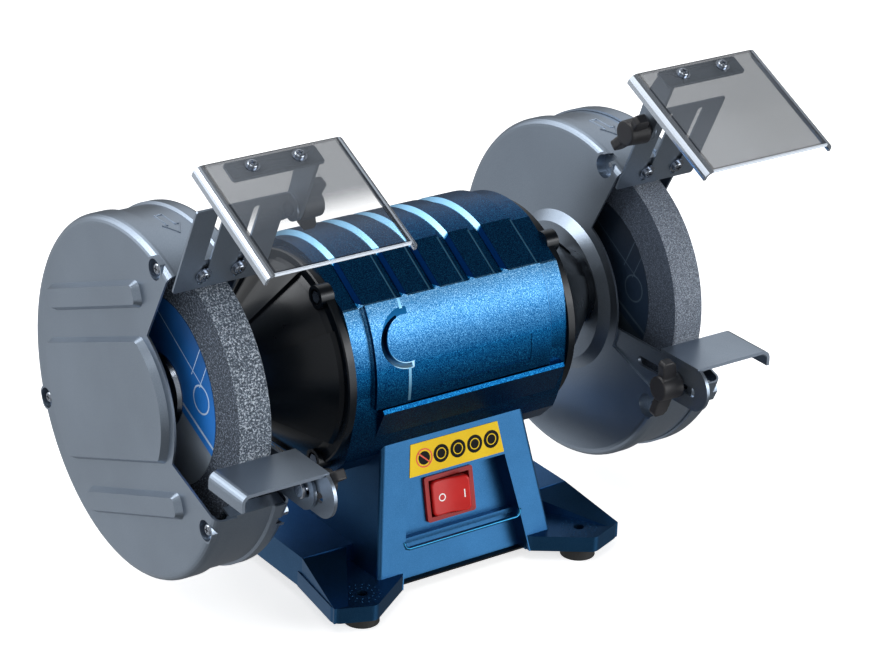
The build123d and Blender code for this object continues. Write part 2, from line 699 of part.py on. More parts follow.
with BuildPart() as terminal_block:
    with BuildSketch(Plane.XY.offset(BASE_Z)):
        with Locations((0, -14.0)):
            Rectangle(50.0, 18.0)
    extrude(amount=9.0)
    with BuildSketch(Plane.XY.offset(BASE_Z + 9.0)):
        with Locations((0, -14.0)):
            with GridLocations(12.0, 1.0, 4, 1):
                Rectangle(9.0, 18.0)
    extrude(amount=7.0)
    with BuildSketch(Plane.XY.offset(BASE_Z + 16.0)):
        with Locations((0, -14.0)):
            with GridLocations(12.0, 10.0, 4, 2):
                Circle(2.0)
    extrude(amount=-5.0, mode=Mode.SUBTRACT)
save(terminal_block.part, "terminal_block")

rear_wall_y = half_size(42.0, 0, 0)[1]
with BuildPart() as cable_gland:
    for y0, y1, r in ((-8.0, 12.0, 6.4), (2.2, 7.0, 9.6), (7.0, 12.0, 8.0), (-13.0, -7.5, 9.0)):
        with BuildSketch(Plane(origin=(40.0, rear_wall_y + y0, 42.0), x_dir=(1, 0, 0), z_dir=(0, 1, 0))):
            if r > 9.0:
                RegularPolygon(r, 6)
            else:
                Circle(r)
        extrude(amount=y1 - y0)
    with BuildSketch(Plane(origin=(40.0, rear_wall_y - 14.0, 42.0), x_dir=(1, 0, 0), z_dir=(0, 1, 0))):
        Circle(3.6)
    extrude(amount=30.0, mode=Mode.SUBTRACT)
save(cable_gland.part, "cable_gland")

# ---------------------------------------------------------------- wheels
x0, x1 = WHEEL_X
wheel = turned([(x0, WHEEL_BORE_R), (x0, WHEEL_R - 1.2), (x0 + 1.2, WHEEL_R), (x1 - 1.2, WHEEL_R),
                (x1, WHEEL_R - 1.2), (x1, WHEEL_BORE_R)])
save_pair(wheel, "wheel")

with BuildPart() as wheel_labels:
    add(tube(x0 - LABEL_T, x0, WHEEL_BORE_R, LABEL_R))
    add(tube(x1, x1 + LABEL_T, WHEEL_BORE_R, LABEL_R))
save_pair(wheel_labels.part, "wheel_labels")

flange_in = x0 - LABEL_T
flange_out = x1 + LABEL_T
with BuildPart() as wheel_flanges:
    # inner flange, with the spigot that fills the wheel's bore
    add(turned([(162.6, JOURNAL_R), (162.6, 19.0), (167.5, FLANGE_R - 1.5), (flange_in - 0.8, FLANGE_R),
                (flange_in, FLANGE_R), (flange_in, FLANGE_R - 6.0), (flange_in - 1.2, FLANGE_R - 6.0),
                (flange_in - 1.2, WHEEL_BORE_R), (x1 - 3.0, WHEEL_BORE_R), (x1 - 3.0, JOURNAL_R)]))
    add(turned([(203.4, JOURNAL_R), (203.4, 19.0), (201.4, FLANGE_R - 1.5), (flange_out + 0.8, FLANGE_R),
                (flange_out, FLANGE_R), (flange_out, FLANGE_R - 6.0),
                (flange_out + 1.2, FLANGE_R - 6.0), (flange_out + 1.2, JOURNAL_R)]))
save_pair(wheel_flanges.part, "wheel_flanges")

with BuildPart() as wheel_nut:
    with BuildSketch(on_shaft(203.4)):
        RegularPolygon(17.3, 6)
        Circle(8.4, mode=Mode.SUBTRACT)
    extrude(amount=10.0)
save_pair(wheel_nut.part, "wheel_nut")

# ---------------------------------------------------------------- guards
face_in, face_out = GUARD_X
PAN_PROFILE = [(face_in, 0.0), *arc_points(face_in + PAN_ROUND, GUARD_R - PAN_ROUND, PAN_ROUND, 180, 90),
               (face_in + 12.6, GUARD_R), (face_in + 14.0, SKIRT_R), (PAN_SKIRT_X, SKIRT_R),
               (PAN_SKIRT_X, SKIRT_R - SHEET), (face_in + 13.2, SKIRT_R - SHEET),
               (face_in + 12.0, GUARD_R - SHEET),
               *arc_points(face_in + PAN_ROUND, GUARD_R - PAN_ROUND, PAN_ROUND - SHEET, 90, 180),
               (face_in + SHEET, 0.0)]
COVER_SHEET = SHEET - 0.05
COVER_PROFILE = [(face_out, 0.0),
                 *arc_points(face_out - COVER_ROUND, GUARD_R - COVER_ROUND, COVER_ROUND, 0, 90, 6),
                 (COVER_SKIRT_X, GUARD_R), (COVER_SKIRT_X, GUARD_R - COVER_SHEET),
                 *arc_points(face_out - COVER_ROUND, GUARD_R - COVER_ROUND, COVER_ROUND - COVER_SHEET,
                             90, 0, 6),
                 (face_out - COVER_SHEET, 0.0)]


def mouth_cut(x0, x1, inner_r, spread):
    """Solid that opens the mouth of a guard: a sector beyond inner_r."""
    reach = 190.0
    edge = math.radians(spread)
    with BuildPart() as cut:
        with BuildSketch(on_guard(x1)):
            Polygon((0, 0), (reach * math.cos(edge), reach * math.sin(edge)), (reach, 0),
                    (reach * math.cos(edge), -reach * math.sin(edge)), align=None)
            Circle(inner_r, mode=Mode.SUBTRACT)
        extrude(amount=x1 - x0)
    return cut.part


def rim_pocket(r, x0, x1, inside_r):
    """Cups at the rim for the long cover screws, clipped to the drum."""
    with BuildPart() as cups:
        with BuildSketch(on_guard(x1)):
            with Locations(*[Location((COVER_SCREW_R * math.cos(math.radians(a)),
                                       COVER_SCREW_R * math.sin(math.radians(a))))
                             for a in COVER_SCREW_ANGLES]):
                Circle(r)
        extrude(amount=x1 - x0)
        with BuildSketch(on_guard(x1)):
            Circle(inside_r)
        extrude(amount=x1 - x0, mode=Mode.INTERSECT)
    return cups.part


def sector_strip(x0, x1, r_in, r_out, a0, a1):
    """Curved strip of a guard's skirt between two angles above its forward axis."""
    with BuildPart() as strip:
        with BuildSketch(on_guard(x1)):
            Polygon((0, 0), *[(200 * math.cos(math.radians(a)), 200 * math.sin(math.radians(a)))
                              for a in (a0, (a0 + a1) / 2, a1)], align=None)
            Circle(r_in, mode=Mode.SUBTRACT)
            Circle(r_out, mode=Mode.INTERSECT)
        extrude(amount=x1 - x0)
    return strip.part


BOSS_FACE = NOSE_X
with BuildPart() as guard_pan:
    add(turned(PAN_PROFILE, GUARD_PROFILE, GUARD_AXIS))
    # hub boss towards the motor: raised disc with a sloping edge
    add(turned([(face_in + SHEET, 0.0), (face_in + SHEET, 60.4), (face_in, 61.5), (BOSS_FACE, 53.5),
                (BOSS_FACE, 0.0)], GUARD_PROFILE, GUARD_AXIS))
    add(turned([(face_in + SHEET, 0.0), (face_in + SHEET, 59.0), (BOSS_FACE + SHEET, 51.6),
                (BOSS_FACE + SHEET, 0.0)], GUARD_PROFILE, GUARD_AXIS), mode=Mode.SUBTRACT)
    with BuildSketch(on_shaft(BOSS_FACE - 1.0)):
        Circle(13.0)
    extrude(amount=12.0, mode=Mode.SUBTRACT)
    # pockets that meet the cover screws
    add(rim_pocket(10.6, face_in, 168.0, GUARD_R - 0.5))
    add(rim_pocket(9.0, face_in - 1.0, 166.4, GUARD_R + 2.0), mode=Mode.SUBTRACT)
    # embossed bead across the skirt, above and below the mouth
    for angle in (-49.5, 50.5):
        add(sector_strip(164.0, 200.5, SKIRT_R - 1.0, GUARD_R - SHEET - 0.3, angle - 1.6, angle + 1.6))
    add(mouth_cut(face_in - 8.0, face_out, MOUTH_R, MOUTH_HALF), mode=Mode.SUBTRACT)
    # skirt tongue and upturned flange that carry the spark plate
    add(sector_strip(166.4, 206.0, SKIRT_R - SHEET, SKIRT_R, 35.9, 41.0))
    with BuildSketch(on_spark(1.9)):
        with Locations((SPARK_MID_X, 12.4)):
            Rectangle(39.6, 25.0)
        with Locations(*[(SPARK_MID_X + k * SPARK_SLOT_DX, SPARK_SCREW_H) for k in (-1, 1)]):
            Circle(2.1, mode=Mode.SUBTRACT)
    extrude(amount=-SHEET)
    # narrow flange bent in at the lower end of the mouth
    with BuildSketch(on_guard(206.0)):
        a = math.radians(-MOUTH_HALF)
        normal = (math.sin(a) * SHEET, -math.cos(a) * SHEET)
        inner = (118.0 * math.cos(a), 118.0 * math.sin(a))
        outer = ((SKIRT_R - 0.2) * math.cos(a), (SKIRT_R - 0.2) * math.sin(a))
        Polygon(inner, outer, (outer[0] + normal[0], outer[1] + normal[1]),
                (inner[0] + normal[0], inner[1] + normal[1]), align=None)
    extrude(amount=206.0 - 163.0)
    # holes for the long screws
    add(rim_pocket(1.9, face_in - 1.0, 169.0, GUARD_R), mode=Mode.SUBTRACT)
    # holes for the screws into the motor's nose
    with BuildSketch(on_shaft(BOSS_FACE - 1.0)):
        with PolarLocations(21.5, 3):
            Circle(2.3)
    extrude(amount=4.0, mode=Mode.SUBTRACT)
save_pair(guard_pan.part, "guard_pan")


def cover_emboss(shrink, x_face, height):
    """Raised centre pad and the two long bars of the cover, made smaller by shrink."""
    with BuildPart() as emboss:
        with BuildSketch(on_guard(x_face)) as pad:
            Circle(63.0 - shrink)
            with Locations((40.0, 0)):
                Rectangle(80.0, 140.0, mode=Mode.INTERSECT)
            with Locations((-60.0, 0)):
                Rectangle(120.0, 2 * (44.4 - shrink))
            with Locations((20.0, 0)):
                Rectangle(250.0, 2 * (44.4 - shrink), mode=Mode.INTERSECT)
            Circle(106.0 - shrink, mode=Mode.INTERSECT)
            fillet(pad.vertices().filter_by(lambda v: abs(v.X) > 30), 7.5 - shrink)
        extrude(amount=-height, taper=30)
        with BuildSketch(on_guard(x_face)):
            with Locations((-12.1, 73.6), (-12.1, -73.6)):
                RectangleRounded(137.2 - 2 * shrink, 19.2 - 2 * shrink, 6.0 - shrink)
        extrude(amount=-height, taper=30)
    return emboss.part


PAD_RAISE = 5.0
POCKET_FLOOR = 213.2
with BuildPart() as guard_cover:
    add(turned(COVER_PROFILE, GUARD_PROFILE, GUARD_AXIS))
    add(cover_emboss(0.0, face_out - 0.01, PAD_RAISE))
    add(cover_emboss(1.9, face_out - SHEET - 0.2, PAD_RAISE), mode=Mode.SUBTRACT)
    add(rim_pocket(9.2, POCKET_FLOOR - SHEET, face_out, GUARD_R - 0.5))
    add(rim_pocket(7.6, POCKET_FLOOR, face_out + 1.0, GUARD_R + 2.0), mode=Mode.SUBTRACT)
    add(mouth_cut(COVER_SKIRT_X - 2.0, face_out + 6.0, MOUTH_R, MOUTH_HALF), mode=Mode.SUBTRACT)
    add(rim_pocket(2.3, 207.0, face_out, GUARD_R), mode=Mode.SUBTRACT)
save_pair(guard_cover.part, "guard_cover")

with BuildPart() as cover_screws:
    for angle in COVER_SCREW_ANGLES:
        a = math.radians(angle)
        spot = on_guard(POCKET_FLOOR).from_local_coords((COVER_SCREW_R * math.cos(a),
                                                         COVER_SCREW_R * math.sin(a), 0))
        add(screw(Plane(origin=spot, x_dir=(0, 1, 0), z_dir=(1, 0, 0)), 4.2, 3.0, 1.9, 49.0, 5.6, 1.0))
save_pair(cover_screws.part, "cover_screws")

with BuildPart() as pan_screws:
    for angle in (0.0, 120.0, 240.0):
        a = math.radians(angle)
        add(screw(Plane(origin=(BOSS_FACE + SHEET, 21.5 * math.cos(a), SHAFT_Z + 21.5 * math.sin(a)),
                        x_dir=(0, 1, 0), z_dir=(1, 0, 0)), 4.0, 2.6, 2.2, 1.6))
save_pair(pan_screws.part, "pan_screws")

# ---------------------------------------------------------------- tool rests
STRIP_T = 2.5
STRIP_Z = 132.5
STRIP_HALF = 14.4
TAB_X = 157.4
TAB_Z = 136.0
TAB_R = 17.3
TAB_ROUND_Y = -140.0
RIVETS = ((-46.0, 124.5), (-62.0, 122.3))

with BuildPart() as rest_bracket:
    with BuildSketch(across(REST_STRIP_X)):
        with Locations(((-40.0 - 125.0) / 2, STRIP_Z)):
            Rectangle(85.0, 2 * STRIP_HALF)
        with Locations((-122.6, STRIP_Z)):
            Circle(STRIP_HALF)
        with Locations((-103.0, STRIP_Z)):
            SlotOverall(57.0, 7.2, mode=Mode.SUBTRACT)
    extrude(amount=STRIP_T)
    with BuildSketch(across(REST_STRIP_X + STRIP_T)):
        with Locations(*RIVETS):
            Circle(3.4)
    extrude(amount=1.8, taper=20)
save_pair(rest_bracket.part, "rest_bracket")

REST_ROLL = 7.0
rest_profile = bent_sheet([(REST_X[0], REST_Z), (REST_X[1] - REST_ROLL, REST_Z)]
                          + arc_points(REST_X[1] - REST_ROLL, REST_Z - REST_ROLL, REST_ROLL, 78, 0, 6)
                          + [(REST_X[1], REST_Z - 12.5)], REST_SHEET)
with BuildPart() as tool_rest:
    with BuildSketch(Plane.XZ.offset(-REST_Y[1])):
        Polygon(*rest_profile, align=None)
    extrude(amount=REST_Y[1] - REST_Y[0])
    with BuildSketch(across(TAB_X)):
        with Locations(((-104.0 + TAB_ROUND_Y) / 2, TAB_Z)):
            Rectangle(-104.0 - TAB_ROUND_Y, 2 * TAB_R)
        with Locations((TAB_ROUND_Y, TAB_Z)):
            Circle(TAB_R)
        with Locations((-131.0, REST_BOLT_Z)):
            SlotOverall(25.0, 7.2, mode=Mode.SUBTRACT)
    extrude(amount=REST_SHEET)
save_pair(tool_rest.part, "tool_rest")

BOLT_R = 3.0
KNOB_BORE_R = 3.06
KNOB_FACE_X = 156.9
KNOB_L = 18.0

with BuildPart() as rest_bolt:
    with BuildSketch(Plane(origin=(163.3, REST_BOLT_Y, REST_BOLT_Z), x_dir=(0, 1, 0), z_dir=(1, 0, 0))):
        Circle(6.5)
    extrude(amount=2.6)
    fillet(rest_bolt.edges().sort_by(Axis.X)[-1], 1.6)
    with BuildSketch(Plane(origin=(163.3, REST_BOLT_Y, REST_BOLT_Z), x_dir=(0, 1, 0), z_dir=(-1, 0, 0))):
        Circle(BOLT_R)
    extrude(amount=163.3 - KNOB_FACE_X + KNOB_L - 4.0)
save_pair(rest_bolt.part, "rest_bolt")


def wing_knob(face_x, y, z, angle, tip):
    """Clamping knob with two wings, seated at face_x and reaching inwards, turned to angle."""
    a = math.radians(angle)
    with BuildPart() as knob:
        with BuildSketch(Plane(origin=(face_x, y, z), x_dir=(0, 1, 0), z_dir=(-1, 0, 0))):
            Circle(10.0)
        extrude(amount=KNOB_L - 1.0, taper=3)
        with BuildSketch(Plane(origin=(face_x, y, z), x_dir=(-1, 0, 0),
                               z_dir=(0, -math.sin(a), math.cos(a)))):
            Polygon((2.0, 0), (3.0, 8.0), (6.0, tip - 3.0), (9.0, tip), (KNOB_L - 1.6, tip),
                    (KNOB_L, tip - 3.0), (KNOB_L - 3.0, 8.0), (KNOB_L - 3.0, -8.0), (KNOB_L, 3.0 - tip),
                    (KNOB_L - 1.6, -tip), (9.0, -tip), (6.0, 3.0 - tip), (3.0, -8.0), align=None)
        extrude(amount=3.6, both=True)
        with BuildSketch(Plane(origin=(face_x, y, z), x_dir=(0, 1, 0), z_dir=(-1, 0, 0))):
            Circle(KNOB_BORE_R)
        extrude(amount=KNOB_L - 3.6, mode=Mode.SUBTRACT)
    return knob.part


save(wing_knob(KNOB_FACE_X, REST_BOLT_Y, REST_BOLT_Z, 100.0, 23.0), "right_rest_knob")
save(mirror(wing_knob(KNOB_FACE_X, REST_BOLT_Y, REST_BOLT_Z, 143.0, 23.0), about=Plane.YZ),
     "left_rest_knob")

# ---------------------------------------------------------------- spark plates
SPARK_T = 1.5
EAR_FACE_X = 148.0
EAR_R = 9.0
ARM_X = 145.2
ARM_T = 2.5
SHIELD_KNOB_X = 144.9


def beside_plate(h, out):
    """Point at height h up the spark plate and out in front of it, as Y and Z."""
    lean = math.radians(SPARK_LEAN)
    return (SPARK_FOOT[0] - h * math.cos(lean) - out * math.sin(lean),
            SPARK_FOOT[1] + h * math.sin(lean) - out * math.cos(lean))


with BuildPart() as spark_plate:
    with BuildSketch(on_spark(0)):
        with Locations(((SPARK_X[0] + SPARK_X[1]) / 2, SPARK_H / 2)):
            RectangleRounded(SPARK_X[1] - SPARK_X[0], SPARK_H, 2.0)
        with Locations((SPARK_MID_X - SPARK_SLOT_DX, 36.8), (SPARK_MID_X + SPARK_SLOT_DX, 36.8)):
            SlotOverall(66.5, 5.2, rotation=90, mode=Mode.SUBTRACT)
    extrude(amount=-SPARK_T)
    with BuildSketch(across(EAR_FACE_X)):
        Polygon(beside_plate(50.0, -SPARK_T), beside_plate(74.5, -SPARK_T), beside_plate(75.4, 0.0),
                beside_plate(75.4, 5.1), beside_plate(57.4, 5.1), beside_plate(50.0, 0.0), align=None)
        with Locations((PIVOT_Y, PIVOT_Z)):
            Circle(EAR_R)
            Circle(BOLT_R, mode=Mode.SUBTRACT)
    extrude(amount=SPARK_X[0] - EAR_FACE_X + 0.1)
save_pair(spark_plate.part, "spark_plate")

with BuildPart() as spark_screws:
    for x in (SPARK_MID_X - SPARK_SLOT_DX, SPARK_MID_X + SPARK_SLOT_DX):
        spot = on_spark(-0.3).from_local_coords((x, SPARK_SCREW_H, 0))
        add(screw(Plane(origin=spot, x_dir=(1, 0, 0), z_dir=on_spark(0).z_dir), 4.0, 2.6, 2.05, 9.0,
                  6.0, 1.0))
        behind = on_spark(1.9 + SHEET).from_local_coords((x, SPARK_SCREW_H, 0))
        with BuildSketch(Plane(origin=behind, x_dir=(1, 0, 0), z_dir=-on_spark(0).z_dir)):
            RegularPolygon(4.0, 6)
        extrude(amount=3.2)
save_pair(spark_screws.part, "spark_screws")

# ---------------------------------------------------------------- eye shields
BRACKET_X = (141.5, 210.5)
BRACKET_T = 2.0

with BuildPart() as shield_bracket:
    with BuildSketch(on_shield(SHIELD_T)):
        with Locations((-(BRACKET_X[0] + BRACKET_X[1]) / 2, 8.6)):
            RectangleRounded(BRACKET_X[1] - BRACKET_X[0], 15.6, 2.0)
        with Locations((-SHIELD_SCREW_X[0], 9.1), (-SHIELD_SCREW_X[1], 9.1)):
            Circle(2.1, mode=Mode.SUBTRACT)
    extrude(amount=-BRACKET_T)
    with BuildSketch(across(ARM_X)):
        Polygon((-74.9, 321.5), (-84.0, 346.0), (-97.9, 365.2), (-111.4, 358.6), (-91.3, 314.6),
                align=None)
        with Locations((PIVOT_Y, PIVOT_Z)):
            Circle(EAR_R)
            Circle(KNOB_BORE_R, mode=Mode.SUBTRACT)
    extrude(amount=ARM_T)
save_pair(shield_bracket.part, "shield_bracket")

s0, s1 = SHIELD_X
shield_profile = bent_sheet([(s0, -8.0)] + arc_points(s0 + 6.0, -6.0, 6.0, 180, 90, 5)
                            + arc_points(s1 - 6.0, -6.0, 6.0, 90, 0, 5) + [(s1, -8.0)], SHIELD_T)
dip = math.radians(SHIELD_DIP)
with BuildPart() as eye_shield:
    with BuildSketch(Plane(origin=(0, *SHIELD_BACK), x_dir=(1, 0, 0),
                           z_dir=(0, -math.cos(dip), -math.sin(dip)))):
        Polygon(*shield_profile, align=None)
    extrude(amount=SHIELD_LEN)
    with BuildSketch(on_shield(-1.0)):
        with Locations((-SHIELD_SCREW_X[0], 9.1), (-SHIELD_SCREW_X[1], 9.1)):
            Circle(2.1)
    extrude(amount=-SHIELD_T - 1.5, mode=Mode.SUBTRACT)
save_pair(eye_shield.part, "eye_shield")

with BuildPart() as shield_screws:
    for x in SHIELD_SCREW_X:
        spot = on_shield(0).from_local_coords((-x, 9.1, 0))
        add(screw(Plane(origin=spot, x_dir=(1, 0, 0), z_dir=on_shield(0).z_dir), 3.8, 2.4, 2.0, 7.0,
                  5.2, 0.8))
        below = on_shield(SHIELD_T + BRACKET_T).from_local_coords((-x, 9.1, 0))
        with BuildSketch(Plane(origin=below, x_dir=(1, 0, 0), z_dir=-on_shield(0).z_dir)):
            RegularPolygon(3.6, 6)
        extrude(amount=2.6)
save_pair(shield_screws.part, "shield_screws")

with BuildPart() as shield_pivot_bolt:
    with BuildSketch(Plane(origin=(SPARK_X[0] + 0.1, PIVOT_Y, PIVOT_Z), x_dir=(0, 1, 0), z_dir=(1, 0, 0))):
        RegularPolygon(4.9, 6)
    extrude(amount=2.8)
    with BuildSketch(Plane(origin=(SPARK_X[0] + 0.1, PIVOT_Y, PIVOT_Z), x_dir=(0, 1, 0), z_dir=(-1, 0, 0))):
        Circle(BOLT_R)
    extrude(amount=SPARK_X[0] + 0.1 - SHIELD_KNOB_X + KNOB_L - 4.0)
save_pair(shield_pivot_bolt.part, "shield_pivot_bolt")

save(wing_knob(SHIELD_KNOB_X, PIVOT_Y, PIVOT_Z, 133.0, 20.0), "right_shield_knob")
save(mirror(wing_knob(SHIELD_KNOB_X, PIVOT_Y, PIVOT_Z, 110.0, 20.0), about=Plane.YZ), "left_shield_knob")
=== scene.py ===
import json
import math

import bmesh
import bpy
from mathutils import Matrix, Vector


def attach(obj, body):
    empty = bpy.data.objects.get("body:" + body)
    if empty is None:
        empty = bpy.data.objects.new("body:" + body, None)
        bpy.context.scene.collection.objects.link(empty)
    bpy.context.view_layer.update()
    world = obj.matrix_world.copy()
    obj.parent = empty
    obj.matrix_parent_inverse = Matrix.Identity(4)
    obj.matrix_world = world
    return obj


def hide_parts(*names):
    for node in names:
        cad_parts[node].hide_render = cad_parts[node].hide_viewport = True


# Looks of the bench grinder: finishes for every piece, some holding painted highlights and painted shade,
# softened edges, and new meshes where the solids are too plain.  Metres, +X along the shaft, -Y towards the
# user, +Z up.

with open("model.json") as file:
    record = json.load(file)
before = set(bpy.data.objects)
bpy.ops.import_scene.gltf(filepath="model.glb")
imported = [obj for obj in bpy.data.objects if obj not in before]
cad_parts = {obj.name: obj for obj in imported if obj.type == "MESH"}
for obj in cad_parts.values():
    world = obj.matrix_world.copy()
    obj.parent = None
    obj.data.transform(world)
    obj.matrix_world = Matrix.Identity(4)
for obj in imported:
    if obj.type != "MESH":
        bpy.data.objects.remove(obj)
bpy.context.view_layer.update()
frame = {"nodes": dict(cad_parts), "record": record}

MM = 0.001
SHAFT_Z = 0.1654
WHEEL_RIM_R = 0.0989                    # the dressed rim starts here
SIDES = (("left", -1), ("right", 1))
SHIELD_BACK = (-0.0983, 0.3680)         # upper back edge of a shield, as y and z
SHIELD_DIP = math.radians(26.0)
SHIELD_LEN = 0.098
SHIELD_MID = 0.17475                    # middle of a shield, and half its width
SHIELD_HALF = 0.05675
ROLL_WIDTH = 0.0058                     # rolled side of a shield
PANEL_TOP = Vector((0.0, -0.0680, 0.1108))
PANEL_LEAN = math.atan2(23.5, 105.3)
# housing: round spot and step on its front panel, edges of the panel, the facet and the crown, where painted
# highlights and painted shade go
SPOT_X, SPOT_Z, SPOT_R = -0.0476, SHAFT_Z + 0.0325, 0.0166
SCOOP_R = 0.0215
STEP_X, STEP_HALF = -0.0482, 0.0011
PANEL_Y = -0.0585
PANEL_Z = (SHAFT_Z - 0.0125, SHAFT_Z + 0.0585)
FACET_Y, FACET_Z = -0.0275, SHAFT_Z + 0.0583
CROWN_Y, CROWN_Z = -0.0265, SHAFT_Z + 0.0635
BANDS = ((-0.0790, -0.0454), (-0.0423, -0.0167), (-0.0146, 0.0120), (0.0152, 0.0386), (0.0439, 0.0758))


# ---------------------------------------------------------------- material helpers
def new_material(name):
    mat = bpy.data.materials.new(name)
    mat.use_nodes = True
    mat.node_tree.nodes.clear()
    out = mat.node_tree.nodes.new("ShaderNodeOutputMaterial")
    shader = mat.node_tree.nodes.new("ShaderNodeBsdfPrincipled")
    mat.node_tree.links.new(shader.outputs["BSDF"], out.inputs["Surface"])
    coords = mat.node_tree.nodes.new("ShaderNodeTexCoord")
    return mat, shader, coords.outputs["Object"]


def noise(mat, coords, scale, detail=3.0, rough=0.5, stretch=None):
    tree = mat.node_tree
    if stretch:
        mapping = tree.nodes.new("ShaderNodeMapping")
        mapping.inputs["Scale"].default_value = stretch
        tree.links.new(coords, mapping.inputs["Vector"])
        coords = mapping.outputs["Vector"]
    tex = tree.nodes.new("ShaderNodeTexNoise")
    tex.inputs["Scale"].default_value = scale
    tex.inputs["Detail"].default_value = detail
    tex.inputs["Roughness"].default_value = rough
    tree.links.new(coords, tex.inputs["Vector"])
    return tex.outputs["Fac"]


def ramp(mat, value, stops):
    node = mat.node_tree.nodes.new("ShaderNodeValToRGB")
    elements = node.color_ramp.elements
    while len(elements) < len(stops):
        elements.new(0.5)
    for element, (pos, color) in zip(elements, stops):
        element.position = pos
        element.color = tuple(color) + (1.0,) if len(color) == 3 else color
    mat.node_tree.links.new(value, node.inputs["Fac"])
    return node.outputs["Color"]


def mix(mat, factor, a, b, blend="MIX"):
    node = mat.node_tree.nodes.new("ShaderNodeMix")
    node.data_type = "RGBA"
    node.blend_type = blend
    # a colour mix takes its factor on socket 0 and its two colours on sockets 6 and 7
    for index, value in ((0, factor), (6, a), (7, b)):
        socket = node.inputs[index]
        if isinstance(value, bpy.types.NodeSocket):
            mat.node_tree.links.new(value, socket)
        elif index == 0:
            socket.default_value = value
        else:
            socket.default_value = tuple(value) + (1.0,)
    return node.outputs[2]


def calc(mat, op, a, b=None):
    """Math node on sockets or plain numbers."""
    node = mat.node_tree.nodes.new("ShaderNodeMath")
    node.operation = op
    for socket, value in zip(node.inputs, (a, b)):
        if isinstance(value, bpy.types.NodeSocket):
            mat.node_tree.links.new(value, socket)
        elif value is not None:
            socket.default_value = value
    return node.outputs[0]


def every(mat, *masks):
    """Product of masks: one only where all of them are one."""
    total = masks[0]
    for mask in masks[1:]:
        total = calc(mat, "MULTIPLY", total, mask)
    return total


def near(mat, value, at, half):
    return calc(mat, "LESS_THAN", calc(mat, "ABSOLUTE", calc(mat, "SUBTRACT", value, at)), half)


def hypot(mat, a, b):
    return calc(mat, "SQRT", calc(mat, "ADD", calc(mat, "MULTIPLY", a, a), calc(mat, "MULTIPLY", b, b)))


def axes(mat, coords):
    split = mat.node_tree.nodes.new("ShaderNodeSeparateXYZ")
    mat.node_tree.links.new(coords, split.inputs[0])
    return [split.outputs[axis] for axis in "XYZ"]


def remap(tree, value, source, target, smooth=False):
    """Map range node from one pair of values to another."""
    node = tree.nodes.new("ShaderNodeMapRange")
    if smooth:
        node.interpolation_type = "SMOOTHSTEP"
    for label, number in zip(("From Min", "From Max", "To Min", "To Max"), (*source, *target)):
        node.inputs[label].default_value = number
    tree.links.new(value, node.inputs["Value"])
    return node.outputs["Result"]


def bump(mat, shader, height, strength, distance):
    node = mat.node_tree.nodes.new("ShaderNodeBump")
    node.inputs["Strength"].default_value = strength
    node.inputs["Distance"].default_value = distance
    mat.node_tree.links.new(height, node.inputs["Height"])
    mat.node_tree.links.new(node.outputs["Normal"], shader.inputs["Normal"])


def roughness(mat, shader, value, low, high):
    rough = remap(mat.node_tree, value, (0.0, 1.0), (low, high))
    mat.node_tree.links.new(rough, shader.inputs["Roughness"])


FLAKE_SCALE = 1500.0
PEEL_SCALE = 420.0


def painted(name, dark, base, light, metallic, rough, flake=FLAKE_SCALE, sparkle=0.5, coat=0.0,
            peel_strength=0.08):
    """Sprayed finish: fine flakes, a little orange peel and a slow drift of tone."""
    mat, shader, coords = new_material(name)
    flakes = ramp(mat, noise(mat, coords, flake, 2.0, 0.8), ((0.38, dark), (0.52, base), (0.66, light)))
    drift = ramp(mat, noise(mat, coords, 9.0, 3.0), ((0.3, [c * 0.85 for c in base]),
                                                     (0.7, [min(1.0, c * 1.12) for c in base])))
    mat.node_tree.links.new(mix(mat, sparkle, drift, flakes), shader.inputs["Base Color"])
    roughness(mat, shader, noise(mat, coords, 60.0, 4.0), rough - 0.05, rough + 0.08)
    bump(mat, shader, noise(mat, coords, PEEL_SCALE, 2.0), peel_strength, 0.0004)
    shader.inputs["Metallic"].default_value = metallic
    shader.inputs["Coat Weight"].default_value = coat
    shader.inputs["Coat Roughness"].default_value = 0.15
    return mat


